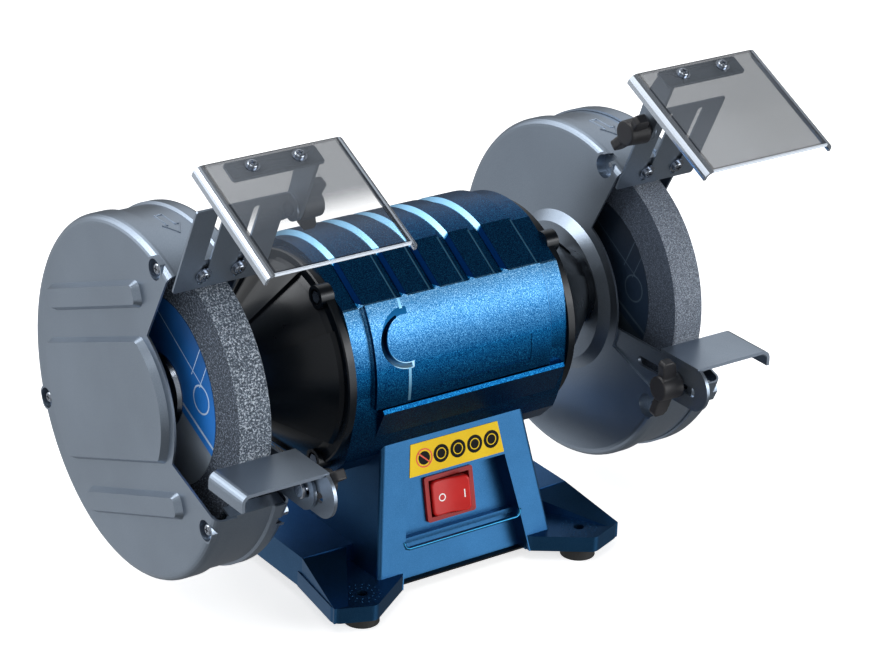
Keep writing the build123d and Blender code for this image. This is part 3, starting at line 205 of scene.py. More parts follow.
def housing_paint_and_light(name):
    """Flake blue of the motor housing with painted light by place: painted highlights along the top of the
    front panel, on the crown flanks, the ridges on the facet, the step and the foot of the scoop; painted
    shade where the bands' left flanks cross the facet."""
    mat, shader, coords = new_material(name)
    x, y, z = axes(mat, coords)
    flake = noise(mat, coords, FLAKE_SCALE, 2.0, 0.8)
    flakes = ramp(mat, flake, ((0.38, BLUE_DARK), (0.52, BLUE_BASE), (0.66, BLUE_LIGHT)))
    # painted highlight: pale flakes laid over the top of the front panel, stronger towards its top edge
    painted_highlight = ramp(mat, flake, ((0.38, (0.010, 0.09, 0.22)), (0.52, (0.045, 0.19, 0.38)),
                               (0.66, (0.30, 0.52, 0.72))))
    on_front = every(mat, calc(mat, "LESS_THAN", y, PANEL_Y), calc(mat, "LESS_THAN", z, PANEL_Z[1]))
    height = calc(mat, "MULTIPLY", calc(mat, "SUBTRACT", z, SHAFT_Z + 0.014), 1.0 / 0.042)
    lit = ramp(mat, height, ((0.0, (0.0, 0.0, 0.0)), (0.92, (0.85, 0.85, 0.85)), (1.0, (1.0, 1.0, 1.0))))
    color = mix(mat, every(mat, on_front, lit), flakes, painted_highlight)

    flanks, ridges = 0.0, 0.0
    for start, end in BANDS:
        flanks = calc(mat, "MAXIMUM", near(mat, x, start + 0.0014, 0.0019), flanks)
        ridges = calc(mat, "MAXIMUM", near(mat, x, end - 0.0034, 0.0006), ridges)
    facet = every(mat, calc(mat, "LESS_THAN", y, FACET_Y), calc(mat, "GREATER_THAN", z, FACET_Z))
    crown = every(mat, calc(mat, "GREATER_THAN", y, CROWN_Y), calc(mat, "GREATER_THAN", z, CROWN_Z))
    # painted highlight on the crown flanks and on the ridges across the facet; painted shade on the flanks
    # where they cross the facet
    color = mix(mat, every(mat, flanks, crown), color, (0.20, 0.42, 0.62))
    color = mix(mat, every(mat, flanks, facet), color, (0.0002, 0.008, 0.038))
    color = mix(mat, every(mat, ridges, facet), color, (0.12, 0.36, 0.58))

    off_x = calc(mat, "SUBTRACT", x, SPOT_X)
    off_z = calc(mat, "MULTIPLY", calc(mat, "SUBTRACT", z, SPOT_Z), 1.04)
    reach = hypot(mat, off_x, off_z)
    ring = every(mat, calc(mat, "GREATER_THAN", reach, SPOT_R), calc(mat, "LESS_THAN", reach, SCOOP_R),
                 calc(mat, "LESS_THAN", x, SPOT_X + 0.0035), on_front)
    # painted highlight at the foot of the scoop, turning to painted shade higher up in it
    scoop = ramp(mat, calc(mat, "MULTIPLY", calc(mat, "ADD", off_z, 0.020), 40.0),
                 ((0.10, (0.36, 0.60, 0.78)), (0.45, (0.03, 0.16, 0.32)), (0.9, (0.004, 0.05, 0.13))))
    color = mix(mat, ring, color, scoop)
    # painted highlight along the step
    step = every(mat, near(mat, x, STEP_X, STEP_HALF), calc(mat, "GREATER_THAN", reach, SCOOP_R - 0.001),
                 calc(mat, "GREATER_THAN", z, PANEL_Z[0]), on_front)
    color = mix(mat, step, color, (0.20, 0.45, 0.66))

    mat.node_tree.links.new(color, shader.inputs["Base Color"])
    roughness(mat, shader, noise(mat, coords, 60.0, 4.0), 0.29, 0.42)
    bump(mat, shader, noise(mat, coords, PEEL_SCALE, 2.0), 0.08, 0.0004)
    shader.inputs["Metallic"].default_value = 1.0
    return mat


def metal(name, dark, light, rough, stretch=(1.0, 14.0, 14.0), scale=300.0):
    """Bright metal with fine drawn or turned marks."""
    mat, shader, coords = new_material(name)
    marks = noise(mat, coords, scale, 4.0, 0.6, stretch)
    mat.node_tree.links.new(ramp(mat, marks, ((0.3, dark), (0.7, light))), shader.inputs["Base Color"])
    roughness(mat, shader, noise(mat, coords, 90.0, 3.0), rough - 0.06, rough + 0.1)
    bump(mat, shader, marks, 0.1, 0.0002)
    shader.inputs["Metallic"].default_value = 1.0
    return mat


def plastic(name, dark, light, rough, grain=900.0, grain_strength=0.1, coat=0.0, shine=0.5):
    """Moulded plastic or rubber with a fine surface grain."""
    mat, shader, coords = new_material(name)
    tone = noise(mat, coords, 25.0, 4.0)
    mat.node_tree.links.new(ramp(mat, tone, ((0.3, dark), (0.7, light))), shader.inputs["Base Color"])
    roughness(mat, shader, noise(mat, coords, 120.0, 3.0), rough - 0.05, rough + 0.08)
    bump(mat, shader, noise(mat, coords, grain, 2.0), grain_strength, 0.0003)
    shader.inputs["Coat Weight"].default_value = coat
    shader.inputs["Coat Roughness"].default_value = 0.1
    shader.inputs["Specular IOR Level"].default_value = shine
    return mat


def abrasive(name, dark, base, light, grain, side_shade):
    """Bonded grit: pale and dark grains in a grey bond, with open pores, and painted shade on the side faces.
    """
    mat, shader, coords = new_material(name)
    grit = noise(mat, coords, grain, 3.0, 0.8)
    speck = ramp(mat, grit, ((0.40, dark), (0.49, base), (0.53, base), (0.60, light)))
    smudge = ramp(mat, noise(mat, coords, 14.0, 4.0), ((0.3, [c * 0.8 for c in base]),
                                                       (0.75, [min(1.0, c * 1.25) for c in base])))
    face = mix(mat, 0.25, speck, smudge)
    # distance from the shaft tells the dressed rim from the sides, which are darkened as painted shade
    _, y, z = axes(mat, coords)
    rim = calc(mat, "GREATER_THAN", hypot(mat, calc(mat, "SUBTRACT", z, SHAFT_Z), y), WHEEL_RIM_R)
    # painted shade: the side faces' colour is multiplied by a darker tone
    tone = mix(mat, 1.0, face, mix(mat, rim, side_shade, (1.0, 1.0, 1.0)), "MULTIPLY")
    mat.node_tree.links.new(tone, shader.inputs["Base Color"])
    roughness(mat, shader, grit, 0.75, 0.98)
    bump(mat, shader, grit, 0.9, 0.0010)
    return mat


BLUE_DARK, BLUE_BASE, BLUE_LIGHT = (0.0003, 0.014, 0.065), (0.0015, 0.052, 0.155), (0.015, 0.18, 0.38)
BLUE = painted("metallic_blue", BLUE_DARK, BLUE_BASE, BLUE_LIGHT, 1.0, 0.34, sparkle=0.55)
BLUE_SMOOTH = painted("satin_blue", (0.008, 0.065, 0.16), (0.030, 0.115, 0.25), (0.07, 0.20, 0.38), 1.0, 0.38,
                      flake=2600.0, sparkle=0.35, peel_strength=0.04)
# lighter copy of the pedestal blue for the sill under the switch: a painted highlight
SILL_HIGHLIGHT_BLUE = painted("sill_highlight_blue", (0.010, 0.12, 0.26), (0.03, 0.20, 0.38), (0.10, 0.32, 0.52), 1.0, 0.30,
                    flake=2600.0, sparkle=0.35, peel_strength=0.03)
GREY = painted("silver_grey", (0.20, 0.25, 0.31), (0.29, 0.345, 0.42), (0.42, 0.48, 0.56), 0.95, 0.31,
               flake=2400.0, sparkle=0.4, peel_strength=0.05)
BLACK = painted("black_enamel", (0.001, 0.002, 0.004), (0.001, 0.003, 0.006), (0.006, 0.009, 0.013),
                0.4, 0.28, sparkle=0.3, coat=0.12)
HOUSING_BLUE = housing_paint_and_light("housing_blue")
STEEL = metal("zinc_steel", (0.22, 0.25, 0.30), (0.55, 0.60, 0.68), 0.18)
LAMINATION = metal("laminations", (0.1, 0.1, 0.1), (0.24, 0.24, 0.25), 0.5, (60.0, 1.0, 1.0), 40.0)
COPPER = metal("copper_wire", (0.3, 0.11, 0.04), (0.62, 0.28, 0.12), 0.35, (1.0, 30.0, 30.0), 60.0)
CAN = metal("drawn_aluminium", (0.5, 0.5, 0.51), (0.75, 0.75, 0.76), 0.35, (20.0, 1.0, 1.0), 80.0)
BLACK_PLASTIC = plastic("black_moulding", (0.010, 0.010, 0.012), (0.022, 0.022, 0.025), 0.42)
RUBBER = plastic("black_rubber", (0.008, 0.008, 0.008), (0.02, 0.02, 0.02), 0.7, 700.0, 0.25)
RED = plastic("red_moulding", (0.26, 0.004, 0.004), (0.36, 0.008, 0.007), 0.34, 600.0, 0.05, 0.05, 0.3)
RED_ROCKER = plastic("red_rocker", (0.44, 0.008, 0.007), (0.55, 0.012, 0.010), 0.3, 600.0, 0.04, 0.05, 0.35)
WHITE = plastic("white_mark", (0.75, 0.75, 0.74), (0.9, 0.9, 0.88), 0.5)
YELLOW = plastic("yellow_film", (0.66, 0.42, 0.003), (0.78, 0.54, 0.008), 0.5, 500.0, 0.05, 0.0, 0.2)
INK = plastic("dark_ink", (0.004, 0.005, 0.005), (0.010, 0.010, 0.010), 0.6, 900.0, 0.05, 0.0, 0.12)
RED_INK = plastic("red_ink", (0.6, 0.05, 0.02), (0.75, 0.09, 0.03), 0.5)
# the last colour of each wheel is its painted shade on the side faces
COARSE = abrasive("coarse_grit", (0.012, 0.018, 0.028), (0.10, 0.13, 0.17), (0.70, 0.77, 0.86), 720.0,
                  (0.30, 0.33, 0.38))
FINE = abrasive("fine_grit", (0.05, 0.06, 0.08), (0.17, 0.20, 0.25), (0.46, 0.52, 0.60), 1100.0,
                (0.22, 0.26, 0.32))


def clear_sheet(name, clear_front):
    """Smoke-tinted clear sheet with painted light: painted highlights on the rolled sides and the front edge,
    painted dark refraction lines beside them and along the back edge, and a painted sheen. Its smokiness
    changes to the strength clear_front over the front part of the sheet; this change is a painted reflection."""
    mat, shader, coords = new_material(name)
    tree = mat.node_tree
    x, y, z = axes(mat, coords)
    from_middle = calc(mat, "ABSOLUTE", calc(mat, "SUBTRACT", calc(mat, "ABSOLUTE", x), SHIELD_MID))
    along = calc(mat, "SUBTRACT",
                 calc(mat, "MULTIPLY", calc(mat, "SUBTRACT", SHIELD_BACK[0], y), math.cos(SHIELD_DIP)),
                 calc(mat, "MULTIPLY", calc(mat, "SUBTRACT", z, SHIELD_BACK[1]), math.sin(SHIELD_DIP)))

    def between(value, low, high):
        return every(mat, calc(mat, "GREATER_THAN", value, low), calc(mat, "LESS_THAN", value, high))

    roll = calc(mat, "GREATER_THAN", from_middle, SHIELD_HALF - ROLL_WIDTH)
    side_line = between(from_middle, SHIELD_HALF - ROLL_WIDTH - 0.0016, SHIELD_HALF - ROLL_WIDTH)
    front_edge = calc(mat, "GREATER_THAN", along, SHIELD_LEN - 0.0013)
    front_line = between(along, SHIELD_LEN - 0.0024, SHIELD_LEN - 0.0013)
    back_line = calc(mat, "LESS_THAN", along, 0.0009)
    # painted highlight on the rolled sides and the front edge; painted dark refraction lines beside them and
    # at the back edge
    painted_highlight = calc(mat, "MAXIMUM", roll, front_edge)
    dark = calc(mat, "MAXIMUM", side_line, calc(mat, "MAXIMUM", front_line, back_line))
    # painted sheen: slow patches of paler tone stand in for reflections
    painted_sheen = ramp(mat, noise(mat, coords, 7.0, 2.0), ((0.35, (0.09, 0.105, 0.125)), (0.65, (0.17, 0.19, 0.22))))
    tint_and_painted_light = mix(mat, painted_highlight, mix(mat, dark, painted_sheen, (0.010, 0.014, 0.022)), (0.62, 0.68, 0.76))
    tree.links.new(tint_and_painted_light, shader.inputs["Base Color"])
    solid = calc(mat, "MAXIMUM", every(mat, painted_highlight, 0.93), every(mat, dark, 0.75))
    # painted reflection: the back of the sheet is smokier than its front
    smoke_and_reflection = remap(tree, along, (0.40 * SHIELD_LEN, 0.66 * SHIELD_LEN), (0.60, clear_front), smooth=True)
    tree.links.new(calc(mat, "MAXIMUM", solid, smoke_and_reflection), shader.inputs["Alpha"])
    tree.links.new(every(mat, roll, 0.92), shader.inputs["Metallic"])
    roughness(mat, shader, noise(mat, coords, 120.0, 5.0, 0.6, (1.0, 9.0, 9.0)), 0.06, 0.16)
    shader.inputs["IOR"].default_value = 1.58
    mat.surface_render_method = "DITHERED"
    return mat


# the left sheet's front is clearer than the right's: a painted reflection
LEFT_CLEAR = clear_sheet("left_clear_shield", 0.15)
RIGHT_CLEAR = clear_sheet("right_clear_shield", 0.58)


def label_material(name, upper, lower, line):
    """Printed wheel paper: tinted above a sloping level, plain below, with a ring and straight lines."""
    mat, shader, coords = new_material(name)
    _, across, z = axes(mat, coords)
    up = calc(mat, "SUBTRACT", z, SHAFT_Z)
    level = calc(mat, "SUBTRACT", up, calc(mat, "MULTIPLY", across, 0.46))
    above = calc(mat, "GREATER_THAN", level, 0.0045)
    fade = ramp(mat, calc(mat, "MULTIPLY", up, 16.0), ((0.05, upper), (0.85, [c * 0.45 for c in upper])))
    base = mix(mat, above, lower, fade)
    from_spot = hypot(mat, calc(mat, "ADD", across, 0.050), calc(mat, "SUBTRACT", up, 0.012))
    lines = near(mat, from_spot, 0.0100, 0.0006)
    # a fan of straight printed lines that meet above the ring
    steep = calc(mat, "ADD", calc(mat, "MULTIPLY", across, 0.9), calc(mat, "MULTIPLY", up, 0.44))
    rising = calc(mat, "SUBTRACT", calc(mat, "MULTIPLY", across, 0.5), calc(mat, "MULTIPLY", up, 0.87))
    for slope, at, floor_level in ((steep, -0.022, 0.026), (rising, -0.045, 0.022), (steep, -0.034, 0.020)):
        line_mask = every(mat, near(mat, slope, at, 0.00035), calc(mat, "GREATER_THAN", up, floor_level))
        lines = calc(mat, "MAXIMUM", lines, line_mask)
    lines = calc(mat, "MAXIMUM", every(mat, lines, above), near(mat, level, 0.0115, 0.0011))
    color = mix(mat, lines, base, line)
    fibres = noise(mat, coords, 500.0, 4.0)
    weave = ramp(mat, fibres, ((0.3, (0.2, 0.2, 0.2)), (0.7, (0.75, 0.75, 0.75))))
    mat.node_tree.links.new(mix(mat, 0.18, color, weave, "MULTIPLY"), shader.inputs["Base Color"])
    roughness(mat, shader, fibres, 0.45, 0.65)
    bump(mat, shader, fibres, 0.15, 0.0002)
    return mat


LEFT_LABEL = label_material("left_wheel_paper", (0.006, 0.15, 0.52), (0.20, 0.24, 0.29),
                            (0.40, 0.52, 0.68))
RIGHT_LABEL = label_material("right_wheel_paper", (0.008, 0.022, 0.048), (0.025, 0.040, 0.060),
                             (0.040, 0.065, 0.095))

SLOT_MATERIAL = {
    "blue_paint": BLUE, "black_paint": BLACK, "grey_paint": GREY, "steel": STEEL,
    "lamination": LAMINATION, "copper": COPPER, "can_aluminium": CAN,
    "coarse_abrasive": COARSE, "fine_abrasive": FINE,
    "blue_label": LEFT_LABEL, "dark_label": RIGHT_LABEL, "yellow_label": YELLOW,
    "clear_shield": RIGHT_CLEAR, "black_plastic": BLACK_PLASTIC, "rubber": RUBBER,
    "red_plastic": RED, "red_rocker": RED_ROCKER,
}

# ---------------------------------------------------------------- finishes on the solids
OWN_MATERIAL = {"pedestal": BLUE_SMOOTH, "motor_housing": HOUSING_BLUE, "left_eye_shield": LEFT_CLEAR}
EDGE = {"pedestal": 1.3, "motor_housing": 0.5, "left_guard_pan": 0.5, "right_guard_pan": 0.5,
        "left_guard_cover": 1.4, "right_guard_cover": 1.4, "left_end_bell": 0.8, "right_end_bell": 0.8,
        "left_tool_rest": 0.6, "right_tool_rest": 0.6}
KNOBS = ("left_rest_knob", "right_rest_knob", "left_shield_knob", "right_shield_knob")
for entry in frame["record"]["subparts"]:
    name = entry["node"]
    node = frame["nodes"][name]
    node.data.materials.clear()
    node.data.materials.append(OWN_MATERIAL.get(name, SLOT_MATERIAL[entry["material_slot"]]))
    if name in KNOBS:
        # moulded shape: every edge melts into the next
        melt = node.modifiers.new("melt", "REMESH")
        melt.mode = "VOXEL"
        melt.voxel_size = 0.7 * MM
        melt.use_smooth_shade = True
        ease = node.modifiers.new("ease", "SMOOTH")
        ease.factor = 0.5
        ease.iterations = 5
        continue
    soften = node.modifiers.new("soften", "BEVEL")
    soften.width = EDGE.get(name, 0.35) * MM
    soften.segments = 3 if name in EDGE else 2
    soften.limit_method = "ANGLE"
    soften.angle_limit = math.radians(25)
    soften.harden_normals = True
    weld = node.modifiers.new("even", "WEIGHTED_NORMAL")
    weld.keep_sharp = True
    node.data.shade_smooth()


# ---------------------------------------------------------------- new meshes
def add_piece(name, verts, faces, material, body, replaced=None):
    """New mesh object in the row frame that rides a body."""
    mesh = bpy.data.meshes.new(name)
    mesh.from_pydata([tuple(v) for v in verts], [], faces)
    shape = bmesh.new()
    shape.from_mesh(mesh)
    bmesh.ops.recalc_face_normals(shape, faces=shape.faces)
    shape.to_mesh(mesh)
    shape.free()
    mesh.materials.append(material)
    piece = bpy.data.objects.new(name, mesh)
    bpy.context.scene.collection.objects.link(piece)
    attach(piece, body)
    if replaced:
        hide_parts(replaced)
    return piece


def circle(radius, steps=40, middle=(0.0, 0.0)):
    return [(middle[0] + radius * math.cos(2 * math.pi * k / steps),
             middle[1] + radius * math.sin(2 * math.pi * k / steps)) for k in range(steps)]


def add_plate(verts, faces, outer, inner, place, low, high):
    """Thin raised shape from an outline, with an optional hole of as many points."""
    count = len(outer)
    start = len(verts)
    for outline in ((outer, inner) if inner else (outer,)):
        for level in (low, high):
            verts += [place(a, b, level) for a, b in outline]
    ring = [start + k * count for k in range(4)]
    for i in range(count):
        j = (i + 1) % count
        faces.append((ring[0] + i, ring[0] + j, ring[1] + j, ring[1] + i))
        if inner:
            faces.append((ring[2] + i, ring[3] + i, ring[3] + j, ring[2] + j))
            faces.append((ring[1] + i, ring[1] + j, ring[3] + j, ring[3] + i))
            faces.append((ring[0] + i, ring[2] + i, ring[2] + j, ring[0] + j))
    if not inner:
        faces.append(tuple(range(ring[1], ring[1] + count)))
        faces.append(tuple(reversed(range(ring[0], ring[0] + count))))


panel_up = Vector((0, math.sin(PANEL_LEAN), math.cos(PANEL_LEAN)))
panel_out = Vector((0, -math.cos(PANEL_LEAN), math.sin(PANEL_LEAN)))


def on_panel(a, b, out):
    """Point on the front panel, a across and b up from its top edge, in millimetres."""
    return PANEL_TOP + Vector((a * MM, 0, 0)) + panel_up * (b * MM) + panel_out * (out * MM)


# printed roundels on the yellow strip: plain dark discs, the first barred in red
ROUNDEL_X = [-27.4 + 14.6 * k for k in range(5)]
ROUNDEL_V = -12.5
dark_verts, dark_faces = [], []
for k, x in enumerate(ROUNDEL_X):
    disc = circle(4.9 if k == 0 else 6.6, 40, (x, ROUNDEL_V))
    add_plate(dark_verts, dark_faces, disc, None, on_panel, 0.45, 0.62)
add_piece("label_roundels", dark_verts, dark_faces, INK, "frame")
pale_verts, pale_faces = [], []
for x in ROUNDEL_X[1:]:
    add_plate(pale_verts, pale_faces, circle(4.2, 40, (x, ROUNDEL_V)), circle(3.5, 40, (x, ROUNDEL_V)),
              on_panel, 0.60, 0.70)
add_piece("label_rings", pale_verts, pale_faces, YELLOW, "frame")
red_verts, red_faces = [], []
spot = (ROUNDEL_X[0], ROUNDEL_V)
add_plate(red_verts, red_faces, circle(7.0, 40, spot), circle(6.1, 40, spot), on_panel, 0.45, 0.72)
slant = Matrix.Rotation(math.radians(-42), 2)
bar_corners = ((-6.3, -0.5), (6.3, -0.5), (6.3, 0.5), (-6.3, 0.5))
bar = [Vector(spot) + slant @ Vector(corner) for corner in bar_corners]
add_plate(red_verts, red_faces, bar, None, on_panel, 0.60, 0.74)
add_piece("label_bar", red_verts, red_faces, RED_INK, "frame")

# rocker: rounded cap with a shallow fold across its middle, pressed at its left end
ROCKER_SWING = math.radians(-12.0)
ROCKER_HALF, ROCKER_TOP, ROCKER_FOLD = 15.0, 10.9, 3.0
joints = {joint["name"]: joint for joint in frame["record"]["behaviour"]["joints"]}
pivot = Vector(joints["rocker_press"]["pos_m"])


def on_rocker(a, b, out):
    """Point on the rocker, a across, b up the panel and out from its pivot, in millimetres."""
    c, s = math.cos(ROCKER_SWING), math.sin(ROCKER_SWING)
    across = (a * c + out * s) * MM
    outward = (out * c - a * s) * MM
    return pivot + Vector((across, 0, 0)) + panel_up * (b * MM) + panel_out * outward


CORNER_STEPS = 6


def rounded(half_a, half_b, radius, steps=CORNER_STEPS):
    """Rounded rectangle outline, anticlockwise, with points at the middle of the long sides."""
    points = []
    for sa, sb, turn in ((1, 1, 0), (-1, 1, 90), (-1, -1, 180), (1, -1, 270)):
        for k in range(steps + 1):
            t = math.radians(turn + 90 * k / steps)
            points.append((sa * (half_a - radius) + radius * math.cos(t),
                           sb * (half_b - radius) + radius * math.sin(t)))
        if turn in (0, 180):
            points.append((0.0, sb * half_b))
    return points


cap_verts, cap_faces = [], []
levels = ((12.6, 13.3, 1.0, -4.0, 0), (15.0, 13.3, 3.4, 8.2, 0), (15.0, 13.2, 3.8, 9.6, 1),
          (14.4, 12.7, 3.8, 10.5, 1), (13.4, 11.8, 3.4, ROCKER_TOP, 1))
for half_a, half_b, radius, out, folded in levels:
    for a, b in rounded(half_a, half_b, radius):
        fold = ROCKER_FOLD * (1 - abs(a) / ROCKER_HALF) if folded else 0.0
        cap_verts.append(on_rocker(a, b, out - fold))
loop = len(rounded(1, 1, 0.5))
for level in range(len(levels) - 1):
    for i in range(loop):
        j = (i + 1) % loop
        low, high = level * loop, (level + 1) * loop
        cap_faces.append((low + i, low + j, high + j, high + i))
top = (len(levels) - 1) * loop
# the top is two flats that meet along the fold, between the middles of the long sides
first = CORNER_STEPS + 1
second = 3 * (CORNER_STEPS + 1) + 1
cap_faces.append(tuple(top + k for k in range(first, second + 1)))
cap_faces.append(tuple(top + k for k in list(range(second, loop)) + list(range(0, first + 1))))
cap_faces.append(tuple(reversed(range(loop))))
cap = add_piece("rocker_cap", cap_verts, cap_faces, RED_ROCKER, "rocker", "rocker")
cap.data.shade_smooth()
cap.modifiers.new("even", "WEIGHTED_NORMAL")


def rocker_face(a, b, out):
    """Point over the rocker's folded face."""
    return on_rocker(a, b, ROCKER_TOP - ROCKER_FOLD * (1 - abs(a) / ROCKER_HALF) + out)


mark_verts, mark_faces = [], []
add_plate(mark_verts, mark_faces, circle(2.9, 40, (-7.0, 0.0)), circle(2.1, 40, (-7.0, 0.0)),
          rocker_face, -0.1, 0.12)
add_plate(mark_verts, mark_faces, [(9.9, -3.0), (10.7, -3.0), (10.7, 3.0), (9.9, 3.0)], None,
          rocker_face, -0.1, 0.12)
add_piece("rocker_marks", mark_verts, mark_faces, WHITE, "rocker")

# embossed arrow on the top of each drum, pointing to the front
DRUM_AXIS = (0.0204, 0.1542)
DRUM_R = 0.1284
ARROW = ((27.0, -3.4), (27.0, 3.4), (9.0, 3.4), (9.0, 7.2), (-4.0, 0.0), (9.0, -7.2), (9.0, -3.4))
ARROW_INNER = ((26.0, -2.4), (26.0, 2.4), (8.0, 2.4), (8.0, 5.5), (-1.9, 0.0), (8.0, -5.5), (8.0, -2.4))
for side_name, side in SIDES:
    def on_drum(a, b, out):
        """Point on the drum's skirt, a behind the front and b across, in millimetres."""
        turn = math.asin((a * MM - DRUM_AXIS[0]) / DRUM_R)
        reach = DRUM_R + out * MM
        return Vector((side * 0.1862 + b * MM, DRUM_AXIS[0] + reach * math.sin(turn),
                       DRUM_AXIS[1] + reach * math.cos(turn)))

    arrow_verts, arrow_faces = [], []
    add_plate(arrow_verts, arrow_faces, ARROW, ARROW_INNER, on_drum, -0.4, 0.7)
    arrow = add_piece(side_name + "_drum_arrow", arrow_verts, arrow_faces, GREY, "frame")
    arrow_bevel = arrow.modifiers.new("soften", "BEVEL")
    arrow_bevel.width = 0.3 * MM
    arrow_bevel.segments = 2

# grip pimples in two rings round each bench bolt hole
BOLT_SPOTS = [(x, y) for x in (-0.0952, 0.0952) for y in (-0.0967, 0.0967)]
PAD_TOP = 0.0214
PIMPLE_SIDES = 8
PIMPLE = ((0.65, -0.2), (0.60, 0.18), (0.35, 0.40))         # radius and height of each level, in mm


def add_pimple(verts, faces, middle):
    """Low rounded stud standing at a point."""
    start = len(verts)
    for radius, height in PIMPLE:
        verts += [middle + Vector((a * MM, b * MM, height * MM)) for a, b in circle(radius, PIMPLE_SIDES)]
    for level in range(len(PIMPLE) - 1):
        low = start + level * PIMPLE_SIDES
        high = low + PIMPLE_SIDES
        for i in range(PIMPLE_SIDES):
            j = (i + 1) % PIMPLE_SIDES
            faces.append((low + i, low + j, high + j, high + i))
    faces.append(tuple(range(len(verts) - PIMPLE_SIDES, len(verts))))
    faces.append(tuple(reversed(range(start, start + PIMPLE_SIDES))))


pimple_verts, pimple_faces = [], []
for bolt_x, bolt_y in BOLT_SPOTS:
    for reach, count, phase in ((8.2, 12, 0.0), (12.6, 16, 0.2)):
        for k in range(count):
            t = 2 * math.pi * k / count + phase
            stud = Vector((bolt_x + reach * MM * math.cos(t), bolt_y + reach * MM * math.sin(t), PAD_TOP))
            add_pimple(pimple_verts, pimple_faces, stud)
pimples = add_piece("foot_pimples", pimple_verts, pimple_faces, BLUE_SMOOTH, "frame")
pimples.data.shade_smooth()

# rounded sill under the switch recess, turned up at its ends, in a lighter blue that is a painted highlight
SILL_END = ((50.7, -69.6), (50.6, -72.0), (49.4, -74.2), (46.8, -75.4))
SILL = [(-a, b) for a, b in SILL_END] + list(reversed(SILL_END))
SILL_R, SILL_DEPTH, SILL_OUT = 1.35, 2.0, -1.2
SILL_SIDES = 12
sill_verts, sill_faces = [], []
for k, (a, b) in enumerate(SILL):
    before, after = SILL[max(k - 1, 0)], SILL[min(k + 1, len(SILL) - 1)]
    heading = math.atan2(after[1] - before[1], after[0] - before[0])
    for i in range(SILL_SIDES):
        t = 2 * math.pi * i / SILL_SIDES
        wide = SILL_R * math.cos(t)
        sill_verts.append(on_panel(a - wide * math.sin(heading), b + wide * math.cos(heading),
                                   SILL_OUT + SILL_DEPTH * math.sin(t)))
for k in range(len(SILL) - 1):
    low, high = SILL_SIDES * k, SILL_SIDES * (k + 1)
    for i in range(SILL_SIDES):
        j = (i + 1) % SILL_SIDES
        sill_faces.append((low + i, low + j, high + j, high + i))
sill_faces.append(tuple(range(SILL_SIDES)))
sill_faces.append(tuple(range(len(sill_verts) - SILL_SIDES, len(sill_verts))))
sill = add_piece("switch_sill", sill_verts, sill_faces, SILL_HIGHLIGHT_BLUE, "frame")
sill.data.shade_smooth()

# ---------------------------------------------------------------- floor, light and camera
CAMERA_AZIMUTH = math.radians(-35.58)
CAMERA_ELEVATION = math.radians(24.03)
CAMERA_ROLL = math.radians(1.89)
CAMERA_DISTANCE = 2.23991
CAMERA_TARGET = Vector((0.03399, 0.0, 0.15761))
LENS = 3076.5 / 881.0 * 36.0


def place_camera():
    """Camera at the product shot's angle, rolled a little about its line of sight."""
    back = Vector((math.sin(CAMERA_AZIMUTH) * math.cos(CAMERA_ELEVATION),
                   -math.cos(CAMERA_AZIMUTH) * math.cos(CAMERA_ELEVATION), math.sin(CAMERA_ELEVATION)))
    right = (-back).cross(Vector((0, 0, 1))).normalized()
    up = right.cross(-back).normalized()
    c, s = math.cos(CAMERA_ROLL), math.sin(CAMERA_ROLL)
    x = c * right + s * up
    y = -s * right + c * up
    turn = Matrix((x, y, back)).transposed().to_4x4()
    data = bpy.data.cameras.new("camera")
    data.lens = LENS
    data.sensor_width = 36.0
    camera = bpy.data.objects.new("camera", data)
    camera.matrix_world = Matrix.Translation(CAMERA_TARGET + CAMERA_DISTANCE * back) @ turn
    bpy.context.scene.collection.objects.link(camera)
    bpy.context.scene.camera = camera


place_camera()

floor_mesh = bpy.data.meshes.new("floor")
floor_mesh.from_pydata([(-6, -6, 0), (6, -6, 0), (6, 6, 0), (-6, 6, 0)], [], [(0, 1, 2, 3)])
floor = bpy.data.objects.new("floor", floor_mesh)
bpy.context.scene.collection.objects.link(floor)
floor_mat, floor_shader, floor_coords = new_material("pale_floor")
floor_tone = ramp(floor_mat, noise(floor_mat, floor_coords, 3.0, 3.0),
                  ((0.3, (0.90, 0.90, 0.90)), (0.7, (0.94, 0.94, 0.94))))
floor_mat.node_tree.links.new(floor_tone, floor_shader.inputs["Base Color"])
floor_shader.inputs["Roughness"].default_value = 0.8
floor_shader.inputs["Emission Color"].default_value = (1.0, 1.0, 1.0, 1.0)
floor_shader.inputs["Emission Strength"].default_value = 0.7
floor_mesh.materials.append(floor_mat)
floor.visible_glossy = False

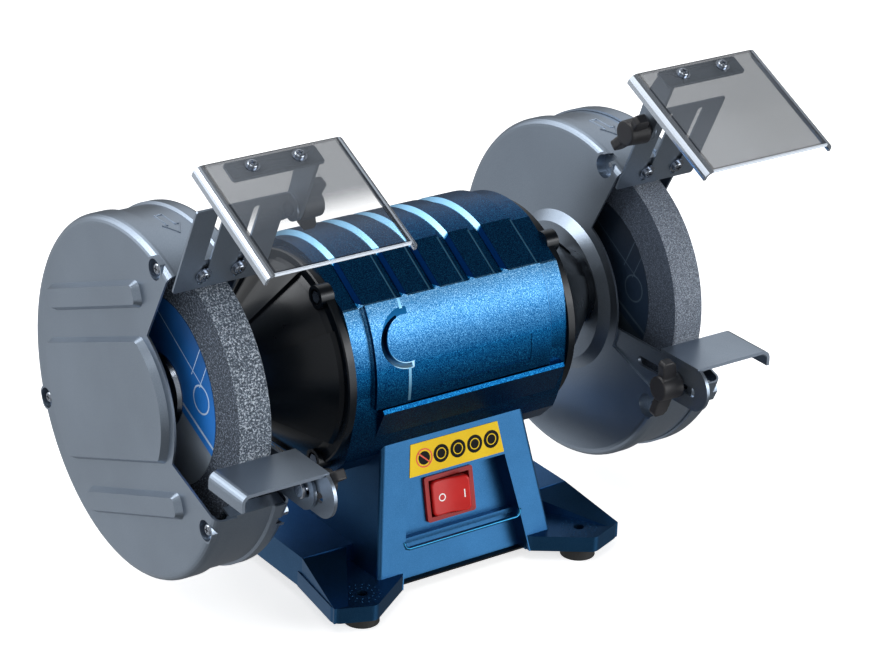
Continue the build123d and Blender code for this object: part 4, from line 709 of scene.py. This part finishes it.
# dark studio with large soft boxes, given as direction, inner and outer half angle, and strength
SOFT_BOXES = (((0.53, -0.84, 0.14), 8, 36, 2.4), ((-0.49, 0.62, 0.60), 12, 42, 2.0),
              ((0.48, 0.62, 0.62), 10, 34, 0.75), ((-0.53, 0.74, -0.41), 15, 60, 0.42),
              ((-0.80, -0.55, 0.25), 10, 45, 0.5))
ROOM_LIGHT = 0.14
world = bpy.data.worlds.new("studio")
bpy.context.scene.world = world
world.use_nodes = True
sky = world.node_tree
direction = sky.nodes.new("ShaderNodeTexCoord").outputs["Generated"]
total = None
for toward, inner, outer, strength in SOFT_BOXES:
    facing = sky.nodes.new("ShaderNodeVectorMath")
    facing.operation = "DOT_PRODUCT"
    facing.inputs[1].default_value = Vector(toward).normalized()
    sky.links.new(direction, facing.inputs[0])
    cone = (math.cos(math.radians(outer)), math.cos(math.radians(inner)))
    adder = sky.nodes.new("ShaderNodeMath")
    adder.operation = "ADD"
    adder.inputs[1].default_value = ROOM_LIGHT
    sky.links.new(remap(sky, facing.outputs["Value"], cone, (0.0, strength), smooth=True), adder.inputs[0])
    if total is not None:
        sky.links.new(total, adder.inputs[1])
    total = adder.outputs[0]
sky.links.new(total, sky.nodes["Background"].inputs["Strength"])
sky.nodes["Background"].inputs["Color"].default_value = (0.96, 0.98, 1.0, 1.0)
bpy.context.scene.view_settings.view_transform = "Standard"


def area_light(name, place, target, size, power):
    """Rectangular lamp at a place, turned to its target."""
    data = bpy.data.lights.new(name, "AREA")
    data.shape = "RECTANGLE"
    data.size, data.size_y = size
    data.energy = power
    lamp = bpy.data.objects.new(name, data)
    lamp.location = place
    lamp.rotation_euler = (Vector(target) - Vector(place)).to_track_quat("-Z", "Y").to_euler()
    bpy.context.scene.collection.objects.link(lamp)


area_light("key", (-1.6, 0.9, 1.7), (0, 0, 0.2), (1.0, 0.8), 14.0)
area_light("front", (1.2, -2.1, 0.9), (0, 0, 0.15), (1.0, 0.7), 9.0)
area_light("top", (-0.7, -0.9, 2.2), (0, 0, 0.2), (0.9, 0.7), 8.0)
